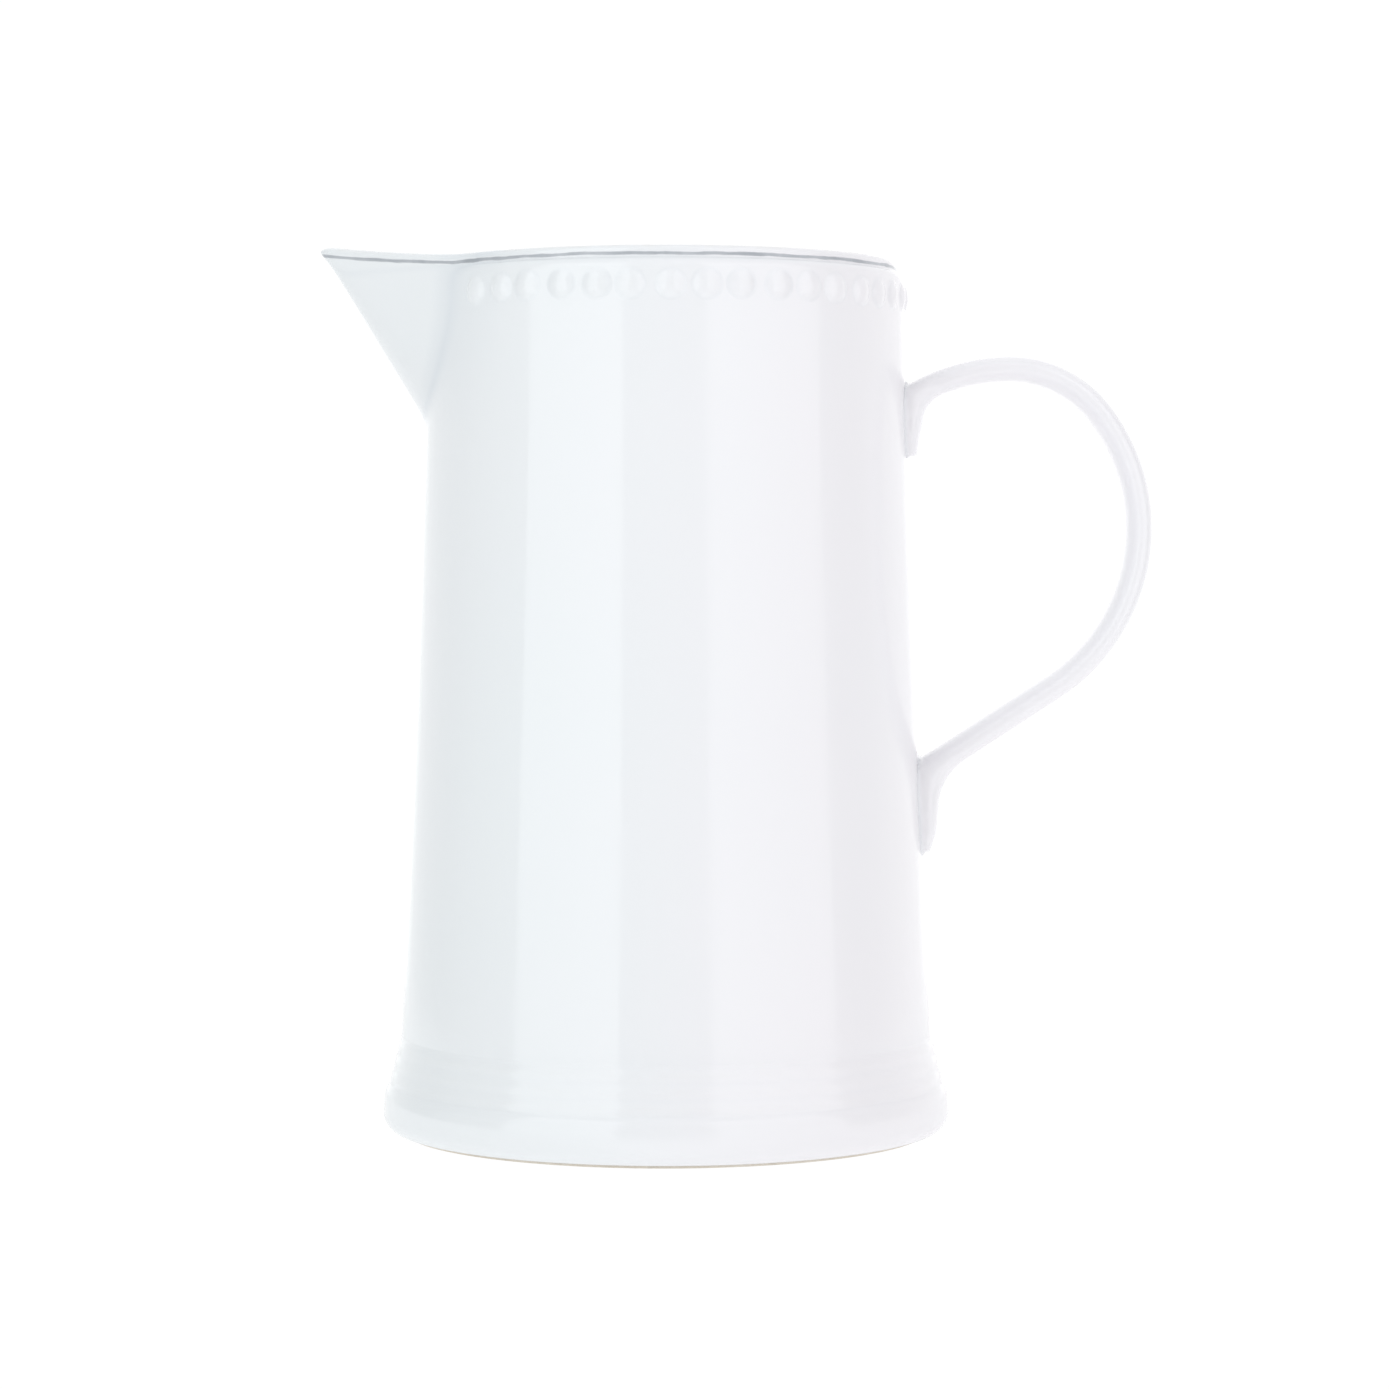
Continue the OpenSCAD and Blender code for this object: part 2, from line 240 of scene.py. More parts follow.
def apply_true_normals(data: bpy.types.Mesh) -> None:
    """Gives a cut piece the normals that its vertices had in the whole."""
    corner_vertex = np.empty(len(data.loops), np.int32)
    data.loops.foreach_get("vertex_index", corner_vertex)
    normals = np.empty(len(data.vertices) * 3, np.float32)
    data.attributes["true_normal"].data.foreach_get("vector", normals)
    normals = normals.reshape(-1, 3)[corner_vertex]
    if "cut" in data.attributes:
        sizes = np.empty(len(data.polygons), np.int32)
        data.polygons.foreach_get("loop_total", sizes)
        marks = np.empty(len(data.polygons), np.int32)
        data.attributes["cut"].data.foreach_get("value", marks)
        flat = np.empty(len(data.polygons) * 3, np.float32)
        data.polygon_normals.foreach_get("vector", flat)
        is_cut = np.repeat(marks, sizes) > 0
        normals[is_cut] = np.repeat(flat.reshape(-1, 3), sizes, axis=0)[is_cut]
        data.attributes.remove(data.attributes["cut"])
    data.attributes.remove(data.attributes["true_normal"])
    data.normals_split_custom_set(normals)


def as_piece(
    mesh: bmesh.types.BMesh, name: str, material: bpy.types.Material, nodes: Sequence[str],
    crease: float = 40.0,
) -> bpy.types.Object:
    """Makes a finished piece out of a mesh and puts it on the frame.

    Args:
        mesh: The shaped mesh, which is freed.
        name: The piece's name.
        material: Its finish.
        nodes: The CAD nodes that the piece stands for.
        crease: The angle in degrees past which an edge shades as a corner.

    Returns:
        The new object.
    """
    keeps = mesh.verts.layers.float_vector.get("true_normal") is not None
    for face in mesh.faces:
        face.smooth = True
    if not keeps:
        limit = math.radians(crease)
        for edge in mesh.edges:
            edge.smooth = len(edge.link_faces) != 2 or edge.calc_face_angle(0.0) < limit
    gaps = sum(1 for edge in mesh.edges if len(edge.link_faces) != 2)
    data = bpy.data.meshes.new(name)
    mesh.to_mesh(data)
    mesh.free()
    if keeps:
        apply_true_normals(data)
    data.materials.append(material)
    piece = bpy.data.objects.new(name, data)
    bpy.context.scene.collection.objects.link(piece)
    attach(piece, BODY)
    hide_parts(*nodes)
    data.calc_loop_triangles()
    log.info("%s: %d triangles, %d open edges", name, len(data.loop_triangles), gaps)
    return piece


# ---------------------------------------------------------------- the pot's form


@dataclass(frozen=True)
class Row:
    """One level of the wall before the spout is pulled out of it.

    Attributes:
        radius: Distance from the axis.
        height: Height above the table.
        turn: How far round the lip's rounding it is, in radians.
    """

    radius: float
    height: float
    turn: float = 0.0


@dataclass(frozen=True)
class PotForm:
    """The outside and the inside of the pot, as radii about its axis."""

    rim_height: float = 0.238
    neck_radius: float = 0.0654
    waist_radius: float = 0.0729
    taper_top: float = 0.222
    taper_bow: float = 1.3
    wall: float = 0.005
    plinth_height: float = 0.026
    foot_height: float = 0.003
    floor_height: float = 0.009
    cove: float = 0.010
    shoulder_low: float = 0.2312
    shoulder_rise: float = 0.0036
    lip_radius: float = 0.0633
    lip_low: float = 0.2348
    lip_rounding: float = 0.0014
    corner_rise: float = 0.00017
    corner_end: float = 0.0007
    spout_tip: float = 0.0947
    spout_top: float = 0.2424
    spout_depth: float = 0.0482
    spread: float = 0.8224
    blunt: float = 0.52
    point_rise: float = 0.002
    edge_bow: float = 1.3
    spout_wall: float = 0.004
    seam_fillet: float = 0.0026
    # Painted shade beside the spout's seam, carried by the glaze pooling value: how far out on the wall it
    # reaches, and how strong it is.
    seam_shade_reach: float = 0.009
    seam_shade_share: float = 0.6
    wall_ends: float = 0.0008
    spout_begins: float = 0.0035
    throat_fillet: float = 0.006
    cone_wide: float = 0.78
    cone_end: float = 1.0
    cone_fade: float = 0.02
    tip_flare: float = 0.0008
    flare_height: float = 0.009
    unevenness: float = 0.00011
    uneven_size: float = 0.038
    sector_low: float = 0.186
    sector_half: float = 0.70

    def wall_radius(self, height: float) -> float:
        """Gives the wall's outside radius at a height."""
        share = max(0.0, (self.taper_top - height) / (self.taper_top - self.plinth_height))
        return self.neck_radius + (self.waist_radius - self.neck_radius) * share**self.taper_bow

    def uneven(self, angle: float, height: float) -> float:
        """Gives the slight unevenness of the hand-finished wall at a place on it."""
        size = self.uneven_size
        around = self.neck_radius / size
        place = Vector((around * math.cos(angle), around * math.sin(angle), 0.6 * height / size))
        return self.unevenness * noise.noise(place)

    def on_wall(self, place: Vector) -> float:
        """Tells how near a place is to the pot's own wall, from 0 out on the spout to 1."""
        out = math.hypot(place.x, place.y) - self.neck_radius
        return 1.0 - ease(out, self.wall_ends, self.spout_begins)

    @cached_property
    def keel_run(self) -> float:
        """How far the keel runs in toward the axis for each metre down."""
        root = self.wall_radius(self.spout_top - self.spout_depth)
        return (self.spout_tip - root) / self.spout_depth

    @cached_property
    def inner_shift(self) -> float:
        """How far the spout's inside is shifted in, for its sides to have their thickness."""
        return self.spout_wall * math.sqrt(1.0 + self.spread**2) / self.spread

    @cached_property
    def seam_reach(self) -> float:
        """How far out from the axis the seam of the spout lies at the shoulder."""
        low, high = 0.0, self.sector_half
        while high - low > 1e-5:
            middle = (low + high) / 2.0
            if self.spout_reach(middle, self.shoulder_low) > self.neck_radius:
                low = middle
            else:
                high = middle
        return self.neck_radius * math.cos(low)

    def spout_reach(self, angle: float, height: float, shift: float = 0.0) -> float:
        """Finds how far out the spout's cone reaches, whose level sections are hyperbolas.

        Args:
            angle: Angle from the spout's direction, in radians.
            height: Height above the table.
            shift: How far the cone is moved in toward the axis.

        Returns:
            The distance from the axis.
        """
        if abs(angle) > self.cone_end:
            return 0.0
        depth = self.spout_top + self.point_rise - height
        nose = self.spout_tip + self.keel_run * (self.point_rise - depth) - shift
        across, along = math.sin(angle), math.cos(angle)
        square = across**2 - (self.spread * along) ** 2
        linear = 2.0 * along * (self.blunt * depth + self.spread**2 * nose)
        constant = -(2.0 * self.blunt * depth * nose + (self.spread * nose) ** 2)
        root = math.sqrt(max(0.0, linear**2 - 4.0 * square * constant))
        reach = -2.0 * constant / (linear + root)
        fade = max(0.0, (abs(angle) - self.cone_wide) / (self.cone_end - self.cone_wide))
        return reach - self.cone_fade * fade * fade

    @lru_cache(maxsize=4096)  # noqa: B019
    def edge_height(self, angle: float) -> float:
        """Gives the height of the rim, which climbs along the spout to its tip."""
        height = self.rim_height
        if abs(angle) > self.sector_half:
            return height
        for _ in range(4):
            out = self.spout_reach(angle, height) * math.cos(angle)
            share = max(0.0, (out - self.seam_reach) / (self.spout_tip - self.seam_reach))
            height = self.rim_height + (self.spout_top - self.rim_height) * share**self.edge_bow
        return height

    def outside(self, angle: float, radius: float, height: float) -> tuple[float, float]:
        """Gives the outside radius, and how deep the place is in the spout's seam and in the painted shade
        beside it.
        """
        flare = self.tip_flare * ease(height, self.edge_height(angle) - self.flare_height, self.spout_top)
        reach = self.spout_reach(angle, height) + flare
        blended, seam = smooth_max(radius, reach, self.seam_fillet)
        # Painted shade: the wall beside the spout's seam is darkened as if glaze gathered there, for the
        # shade that falls beside the spout.
        beside = max(0.0, 1.0 - max(0.0, radius - reach) / self.seam_shade_reach)
        return blended + self.uneven(angle, height), max(seam, self.seam_shade_share * beside * beside)

    def inside(self, angle: float, radius: float, height: float) -> tuple[float, float]:
        """Gives the inside radius, and how deep in the throat's fillet the place is."""
        reach = self.spout_reach(angle, height, self.inner_shift)
        return smooth_max(radius, reach, self.throat_fillet)

    def lifted(self, angle: float, height: float) -> float:
        """Stretches a height in the spout's zone, so that the top row follows the rim's edge."""
        base = self.rim_height - self.lip_rounding
        if height <= self.sector_low:
            return height
        top = self.edge_height(angle) - self.lip_rounding
        stretch = (top - self.sector_low) / (base - self.sector_low)
        return self.sector_low + (height - self.sector_low) * stretch

    def place(self, row: Row, angle: float, side: Side) -> tuple[Vector, float]:
        """Puts one point of a row on the pot.

        Args:
            row: The row that the point is in.
            angle: Angle from the spout's direction, in radians.
            side: The face of the wall that it is on.

        Returns:
            The point, and how deep in a fillet it is.
        """
        seam = 0.0
        if row.turn > 0.0:
            base = self.edge_height(angle) - self.lip_rounding
            outer, seam = self.outside(angle, self.lip_radius, base)
            inner, _ = self.inside(angle, self.neck_radius - self.wall, base)
            way = 1.0 if side is Side.OUTSIDE else -1.0
            radius = (outer + inner) / 2.0 + way * (outer - inner) / 2.0 * math.cos(row.turn)
            height = base + self.lip_rounding * math.sin(row.turn)
        else:
            height = self.lifted(angle, row.height)
            face = self.outside if side is Side.OUTSIDE else self.inside
            radius, seam = face(angle, row.radius, height)
        return at_turn(radius, angle, height), seam

    def shoulder_rows(self) -> list[Row]:
        """Lists the rows of the turn from the neck in to the lip, and of the soft corner under the lip."""
        turn_in = self.neck_radius - self.lip_radius
        rows = []
        for degrees in (12, 24, 36, 48, 58, 68, 76):
            angle = math.radians(degrees)
            radius = self.lip_radius + turn_in * math.cos(angle)
            rows.append(Row(radius, self.shoulder_low + self.shoulder_rise * math.sin(angle)))
        last = rows[-1]
        corner = (self.lip_radius, last.height + self.corner_rise)
        end = (self.lip_radius, last.height + self.corner_end)
        for share in (0.3, 0.6, 1.0):
            back = 1.0 - share
            radius = back**2 * last.radius + 2 * back * share * corner[0] + share**2 * end[0]
            height = back**2 * last.height + 2 * back * share * corner[1] + share**2 * end[1]
            rows.append(Row(radius, height))
        return rows


def warp_angle(angle: float) -> float:
    """Crowds the columns of a full turn toward the spout, where the form is tight."""
    crowding = 0.7
    return angle - crowding * math.sin(angle)


@dataclass
class PotSkin:
    """The whole wall as two sheets, outside and inside, out of which closed pieces are cut.

    Attributes:
        form: The pot's form.
        columns: How many columns go round each sheet.
        low_step: The gap between rows under the spout's zone.
        high_step: The gap between rows beside the spout.
        lip_step: The gap between rows on the lip.
        pool_and_shade_limit: The most glaze pooling and painted shade anywhere.
        seam_pool_and_shade: How much glaze pooling and painted shade darken the spout's seam and the wall
            beside it.
        seam_power: How sharply that fades away from the seam.
        throat_pool_and_shade: How much glaze pooling and painted shade darken the inside, where the spout
            opens.
        plinth_pool_and_shade: How much glaze pooling and painted shade darken the wall on top of the plinth.
        plinth_fade: How far up the wall that fades.
        lip_pool_and_shade: How much glaze pooling and painted shade darken the corner under the lip.
        lip_fade: How far up and down that fades.
        body_row: The row where the lip starts.
        sector_row: The row where the spout's zone starts.
        offset: How many more rows the outside has than the inside under the spout's zone.
        whole: Both sheets.
    """

    form: PotForm
    columns: int = 480
    low_step: float = 0.0034
    high_step: float = 0.00095
    lip_step: float = 0.0004
    pool_and_shade_limit: float = 1.6
    seam_pool_and_shade: float = 1.5
    seam_power: float = 1.3
    throat_pool_and_shade: float = 0.5
    plinth_pool_and_shade: float = 0.3
    plinth_fade: float = 0.0016
    lip_pool_and_shade: float = 0.45
    lip_fade: float = 0.0008
    body_row: int = 0
    sector_row: int = 0
    offset: int = 0
    whole: bmesh.types.BMesh = field(init=False)

    def __post_init__(self) -> None:
        """Builds both sheets."""
        outer, inner = self.rows()
        self.whole = self.sheets(outer, inner)

    def rows(self) -> tuple[list[Row], list[Row]]:
        """Lists the rows of both sheets, from the foot up.

        The inside has half as many rows under the spout's zone, and the same rows above its foot.

        Returns:
            The rows of the outside, and those of the inside.
        """
        form = self.form
        radius = form.lip_radius
        base = form.rim_height - form.lip_rounding
        low_heights = [form.foot_height, 0.012, 0.020] + spaced(0.0245, form.sector_low, self.low_step)
        high_heights = spaced(form.sector_low, form.shoulder_low + 1e-6, self.high_step)
        shoulder = form.shoulder_rows()
        lip = [Row(radius, height) for height in spaced(shoulder[-1].height + 0.0003, base, self.lip_step)]
        crest = [Row(radius, base, math.radians(degrees)) for degrees in (6, 18, 30, 42, 54, 66, 77, 87)]
        low_outer = [Row(form.wall_radius(height), height) for height in low_heights]
        high_outer = [Row(form.wall_radius(height), height) for height in high_heights]
        outer = low_outer + high_outer + shoulder + lip + crest
        low_inner = [Row(form.wall_radius(height) - form.wall, height) for height in low_heights[1::2]]
        inner_lip = form.neck_radius - form.wall
        high_inner = [Row(row.radius - form.wall, row.height) for row in high_outer]
        upper = [Row(inner_lip, row.height, row.turn) for row in shoulder + lip + crest]
        inner = low_inner + high_inner + upper
        self.offset = len(low_outer) - len(low_inner)
        self.sector_row = len(low_outer)
        self.body_row = len(low_outer) + len(high_outer) + len(shoulder) - 2
        return outer, inner

    def sheets(self, outer: list[Row], inner: list[Row]) -> bmesh.types.BMesh:
        """Spins the rows into two sheets and lays them on the pot.

        Args:
            outer: The rows of the outside.
            inner: The rows of the inside.

        Returns:
            A mesh with layers for the row, column and side, the glaze's pooling with painted shade and its
            thinning, and the normal.
        """
        lines = {Side.OUTSIDE: outer, Side.INSIDE: inner}
        mesh = spun_sheets({side: len(rows) for side, rows in lines.items()}, self.columns)
        row_layer = float_layer(mesh, "row")
        column_layer = float_layer(mesh, "column")
        side_layer = float_layer(mesh, "side")
        pool_and_shade_layer = float_layer(mesh, "pool_and_shade")
        thin_layer = float_layer(mesh, "thin")
        for vert in mesh.verts:
            side = side_of(vert.co)
            index = round(vert.co.z)
            turn = turn_of(vert.co)
            vert[column_layer] = round(turn * self.columns / FULL_TURN) % self.columns
            angle = warp_angle(turn)
            row = lines[side][index]
            vert.co, seam = self.form.place(row, angle, side)
            vert[row_layer] = index + (0 if side is Side.OUTSIDE else self.offset)
            vert[side_layer] = side.value
            vert[pool_and_shade_layer] = self.pooling(seam, vert.co, side)
            vert[thin_layer] = math.sin(row.turn) ** 2
        bmesh.ops.recalc_face_normals(mesh, faces=mesh.faces)
        self.face_out(mesh, side_layer)
        remember_normals(mesh)
        return mesh

    def pooling(self, seam: float, place: Vector, side: Side) -> float:
        """Tells how much glaze pooling and painted shade darken a place on the wall.

        Args:
            seam: How deep in a fillet the place is, from 0 to 1.
            place: The place itself.
            side: The face of the wall that it is on.

        Returns:
            The amount, from 0 to pool_and_shade_limit.
        """
        # Glaze pooling and painted shade: darker in the throat inside, in the spout's seam and beside it, on
        # top of the plinth and under the lip.
        if side is Side.INSIDE:
            return self.throat_pool_and_shade * seam
        in_seam = self.seam_pool_and_shade * seam**self.seam_power * self.form.on_wall(place)
        at_plinth = math.exp(-max(0.0, place.z - self.form.plinth_height) / self.plinth_fade)
        under_lip = math.exp(-(((place.z - self.form.lip_low) / self.lip_fade) ** 2))
        return min(self.pool_and_shade_limit, in_seam + self.plinth_pool_and_shade * at_plinth + self.lip_pool_and_shade * under_lip)

    @staticmethod
    def face_out(mesh: bmesh.types.BMesh, side_layer: bmesh.types.BMLayerItem) -> None:
        """Turns the faces of each sheet so that they point away from the clay."""
        wrong = []
        for face in mesh.faces:
            centre = face.calc_center_median()
            out = face.normal.x * centre.x + face.normal.y * centre.y
            is_outer = face.verts[0][side_layer] > BETWEEN_SIDES
            crest = abs(face.normal.z) > 0.8
            if crest:
                if face.normal.z < 0.0 and centre.z > 0.2:
                    wrong.append(face)
            elif (out > 0.0) != is_outer:
                wrong.append(face)
        bmesh.ops.reverse_faces(mesh, faces=wrong)

    def cut(self, wanted: Callable[[float, float], bool]) -> bmesh.types.BMesh:
        """Cuts a closed piece out of both sheets.

        Args:
            wanted: Says whether a face belongs to the piece, by its row and its angle from the spout.

        Returns:
            The closed piece.
        """
        mesh = self.whole.copy()
        layer = mesh.verts.layers.float["row"]
        keep_faces(mesh, lambda face: wanted(mean_of(face, layer), turn_of(face.calc_center_median())))
        cut_layer = mark_whole(mesh)
        self.join_edges(mesh, cut_layer)
        left = open_edges(mesh)
        if left:
            made = bmesh.ops.bridge_loops(mesh, edges=left)
            cap(made["faces"], cut_layer)
        turn_outward(mesh)
        for name in ("row", "column", "side"):
            mesh.verts.layers.float.remove(mesh.verts.layers.float[name])
        return mesh

    @staticmethod
    def join_edges(mesh: bmesh.types.BMesh, cut_layer: bmesh.types.BMLayerItem) -> None:
        """Closes a cut across the wall, between points at the same row and column of both sheets.

        A bridge between two such long thin loops would twist, so each face is placed by itself.

        Args:
            mesh: The cut mesh.
            cut_layer: The layer that marks the new faces.
        """
        layers = mesh.verts.layers.float

        def address(vert: bmesh.types.BMVert) -> tuple[int, int]:
            """Gives the row and the column of a point."""
            return round(vert[layers["row"]]), round(vert[layers["column"]])

        side = layers["side"]
        rims = open_edges(mesh)
        inner_ends = [vert for edge in rims for vert in edge.verts if vert[side] < BETWEEN_SIDES]
        partners = {address(vert): vert for vert in inner_ends}
        made = []
        for edge in rims:
            one, other = edge.verts
            across = [partners.get(address(other)), partners.get(address(one))]
            if one[side] > BETWEEN_SIDES and None not in across:
                made.append(mesh.faces.new((one, other, *across)))
        cap(made, cut_layer)

    def in_sector(self, angle: float) -> bool:
        """Tells whether an angle is in the spout's zone, which ends on a column."""
        return abs(angle) < self.sector_end

    @cached_property
    def sector_end(self) -> float:
        """The angle of the column where the spout's zone ends."""
        step = FULL_TURN / self.columns
        angles = [warp_angle(step * index) for index in range(self.columns // 2)]
        return min(angles, key=lambda angle: abs(angle - self.form.sector_half))


# ---------------------------------------------------------------- finishes


class NodeMaker:
    """Places shader nodes and links in one tree, so that a finish reads as a list of steps."""

    def __init__(self, tree: bpy.types.NodeTree) -> None:
        """Keeps the tree to work in."""
        self.tree = tree

    def node(self, kind: str, values: dict | None = None, **settings: object) -> bpy.types.Node:
        """Adds a node.

        Args:
            kind: The node's type name in Blender.
            values: Numbers, colours or output sockets for its inputs, by name or by place.
            **settings: The node's own settings.

        Returns:
            The new node.
        """
        made = self.tree.nodes.new(kind)
        for name, value in settings.items():
            setattr(made, name, value)
        for name, value in (values or {}).items():
            if isinstance(value, bpy.types.NodeSocket):
                self.tree.links.new(value, made.inputs[name])
            else:
                made.inputs[name].default_value = value
        return made

    def link(self, source: bpy.types.NodeSocket, target: bpy.types.NodeSocket) -> None:
        """Links an output to an input."""
        self.tree.links.new(source, target)

    def math(
        self, operation: str, first: object, second: object = 0.0, clamp: bool = False
    ) -> bpy.types.NodeSocket:
        """Adds a Math node and gives its output."""
        made = self.node("ShaderNodeMath", {0: first, 1: second}, operation=operation, use_clamp=clamp)
        return made.outputs[0]

    def times(self, first: object, second: object, clamp: bool = False) -> bpy.types.NodeSocket:
        """Multiplies two values and gives the result."""
        return self.math("MULTIPLY", first, second, clamp)

    def plus(self, first: object, second: object, clamp: bool = False) -> bpy.types.NodeSocket:
        """Adds two values and gives the result."""
        return self.math("ADD", first, second, clamp)

    def mix(self, share: object, first: object, second: object, way: str = "MIX") -> bpy.types.NodeSocket:
        """Mixes two colours and gives the result."""
        made = self.node("ShaderNodeMix", {0: share, 6: first, 7: second}, data_type="RGBA", blend_type=way)
        return made.outputs[2]

    def fit(
        self,
        value: object,
        low: float,
        high: float,
        new_low: float = 0.0,
        new_high: float = 1.0,
        smooth: bool = True,
    ) -> bpy.types.NodeSocket:
        """Fits a value from one range to another.

        Args:
            value: The value, or the output that gives it.
            low: The start of its own range.
            high: The end of its own range.
            new_low: What low becomes.
            new_high: What high becomes.
            smooth: Whether the value eases in and out.

        Returns:
            The output with the fitted value, held inside the new range.
        """
        way = "SMOOTHSTEP" if smooth else "LINEAR"
        values = {0: value, 1: low, 2: high, 3: new_low, 4: new_high}
        return self.node("ShaderNodeMapRange", values, interpolation_type=way).outputs[0]

    def noise(
        self, place: object, scale: float, detail: float = 2.0, roughness: float = 0.5
    ) -> bpy.types.NodeSocket:
        """Adds a Noise Texture and gives its value."""
        values = {"Vector": place, "Scale": scale, "Detail": detail, "Roughness": roughness}
        return self.node("ShaderNodeTexNoise", values).outputs[0]

    def attribute(self, name: str) -> bpy.types.Node:
        """Reads one of the mesh's own attributes."""
        return self.node("ShaderNodeAttribute", attribute_name=name)

    def of_kind(self, kind: str) -> bpy.types.Node:
        """Finds the tree's first node of a kind."""
        return next(node for node in self.tree.nodes if node.type == kind)

    def group(self, tree: bpy.types.NodeTree, colours: dict[str, tuple]) -> bpy.types.Node:
        """Places a node group and sets the colours of its inputs."""
        return self.node("ShaderNodeGroup", colours, node_tree=tree)

    def put(self, sockets: dict[str, bpy.types.NodeSocket]) -> None:
        """Ends a node group by linking its outputs by name."""
        end = self.node("NodeGroupOutput")
        for name, socket in sockets.items():
            self.link(socket, end.inputs[name])


def new_group(
    name: str, inputs: dict[str, object], outputs: dict[str, str]
) -> tuple[bpy.types.NodeTree, NodeMaker]:
    """Starts a shader node group with named sockets.

    Args:
        name: The group's name.
        inputs: Each input's name and starting value: a number, or a colour.
        outputs: Each output's name and socket type.

    Returns:
        The group, and a maker that works in it.
    """
    tree = bpy.data.node_groups.new(name, "ShaderNodeTree")
    for title, value in inputs.items():
        kind = "NodeSocketFloat" if isinstance(value, float) else "NodeSocketColor"
        tree.interface.new_socket(title, in_out="INPUT", socket_type=kind).default_value = value
    for title, kind in outputs.items():
        tree.interface.new_socket(title, in_out="OUTPUT", socket_type=kind)
    return tree, NodeMaker(tree)


class SharedEffects:
    """The node groups that the finishes use, each built once."""

    SURFACE: ClassVar[dict[str, str]] = {
        "Color": "NodeSocketColor",
        "Roughness": "NodeSocketFloat",
        "Height": "NodeSocketFloat",
    }
    SPECK_COLOUR: ClassVar[tuple] = (0.42, 0.38, 0.33, 1.0)
    SCUFF_COLOUR: ClassVar[tuple] = (0.5, 0.46, 0.4, 1.0)

    def __init__(self) -> None:
        """Builds the groups."""
        self.glaze = self.build_glaze()
        self.grain = self.build_grain()

    def build_glaze(self) -> bpy.types.NodeTree:
        """Builds the glaze's colour drift with a painted side-light tint, its pooling with painted shade,
        specks, gloss and surface ripple.
        """
        tree, make = new_group(
            "glaze surface",
            {
                "Cool": (0.86, 0.9, 0.94, 1.0),
                "Warm": (0.9, 0.9, 0.92, 1.0),
                "Pooled And Shaded": (0.7, 0.75, 0.8, 1.0),
                "Thin": (0.85, 0.84, 0.8, 1.0),
                "Pool And Shade": 0.0,
                "Thinness": 0.0,
                "Ripple": 1.0,
                "Specks": 1.0,
            },
            self.SURFACE,
        )
        given = make.node("NodeGroupInput").outputs
        place = make.node("ShaderNodeTexCoord").outputs["Object"]
        drift = make.noise(place, 11.0, 2.0)
        # Painted light: the colour leans from cool on the spout's side (-X) to warm lilac on the handle's
        # side (+X), a painted tint of the two lights, with random drift added.
        side = make.node("ShaderNodeSeparateXYZ", {0: place}).outputs[0]
        side_light_lean = make.plus(make.fit(side, -0.05, 0.05, 0.0, 0.7), make.times(drift, 0.6))
        colour = make.mix(make.math("SUBTRACT", side_light_lean, 0.15, clamp=True), given["Cool"], given["Warm"])
        clouds = make.noise(place, 42.0, 3.0)
        # Glaze pooling and painted shade: where the mesh marks hollows, creases and the seam's side, the
        # colour turns to the darker blue-grey.
        pooled_and_shaded = make.times(given["Pool And Shade"], make.fit(clouds, 0.2, 0.8, 0.7, 1.0), clamp=True)
        colour = make.mix(pooled_and_shaded, colour, given["Pooled And Shaded"])
        patches = make.fit(make.noise(place, 130.0, 2.0), 0.35, 0.7)
        worn = make.times(given["Thinness"], patches, clamp=True)
        colour = make.mix(worn, colour, given["Thin"])
        cells = make.node("ShaderNodeTexVoronoi", {"Vector": place, "Scale": 95.0, "Randomness": 1.0})
        pick = make.node("ShaderNodeSeparateColor", {0: cells.outputs["Color"]}).outputs[0]
        rare = make.math("GREATER_THAN", pick, 0.972)
        dot = make.fit(cells.outputs["Distance"], 0.02, 0.045, 1.0, 0.0)
        speck = make.times(make.times(rare, dot), given["Specks"], clamp=True)
        colour = make.mix(speck, colour, self.SPECK_COLOUR)
        peel = make.noise(place, 700.0, 1.0)
        swell = make.noise(place, 90.0, 1.0)
        height = make.times(make.plus(make.times(peel, 0.1), swell), given["Ripple"])
        height = make.math("SUBTRACT", height, make.times(speck, 0.4))
        gloss = make.fit(make.noise(place, 24.0, 3.0), 0.3, 0.7, 0.07, 0.13)
        gloss = make.plus(gloss, make.times(worn, 0.12))
        make.put({"Color": colour, "Roughness": gloss, "Height": height})
        return tree

    def build_grain(self) -> bpy.types.NodeTree:
        """Builds the fine grain of fired clay: colour, roughness and height."""
        tree, make = new_group(
            "clay grain",
            {"Light": (0.8, 0.74, 0.64, 1.0), "Dark": (0.66, 0.58, 0.47, 1.0), "Grain": 1.0},
            self.SURFACE,
        )
        given = make.node("NodeGroupInput").outputs
        place = make.node("ShaderNodeTexCoord").outputs["Object"]
        broad = make.noise(place, 35.0, 4.0, 0.6)
        fine = make.noise(place, 1400.0, 3.0, 0.65)
        grit = make.node("ShaderNodeTexVoronoi", {"Vector": place, "Scale": 900.0}).outputs["Distance"]
        share = make.plus(make.times(broad, 0.65), make.times(fine, 0.35))
        colour = make.mix(make.fit(share, 0.35, 0.65), given["Dark"], given["Light"])
        scuff = make.fit(make.noise(place, 160.0, 2.0), 0.56, 0.72)
        colour = make.mix(make.times(scuff, 0.35), colour, self.SCUFF_COLOUR)
        height = make.times(make.plus(fine, make.times(grit, 0.5)), given["Grain"])
        rough = make.fit(broad, 0.3, 0.7, 0.78, 0.94)
        make.put({"Color": colour, "Roughness": rough, "Height": height})
        return tree


def new_material(name: str) -> tuple[bpy.types.Material, NodeMaker, bpy.types.Node]:
    """Starts a node material and gives it, a maker for its tree, and its Principled BSDF."""
    material = bpy.data.materials.new(name)
    material.use_nodes = True
    maker = NodeMaker(material.node_tree)
    return material, maker, maker.of_kind("BSDF_PRINCIPLED")


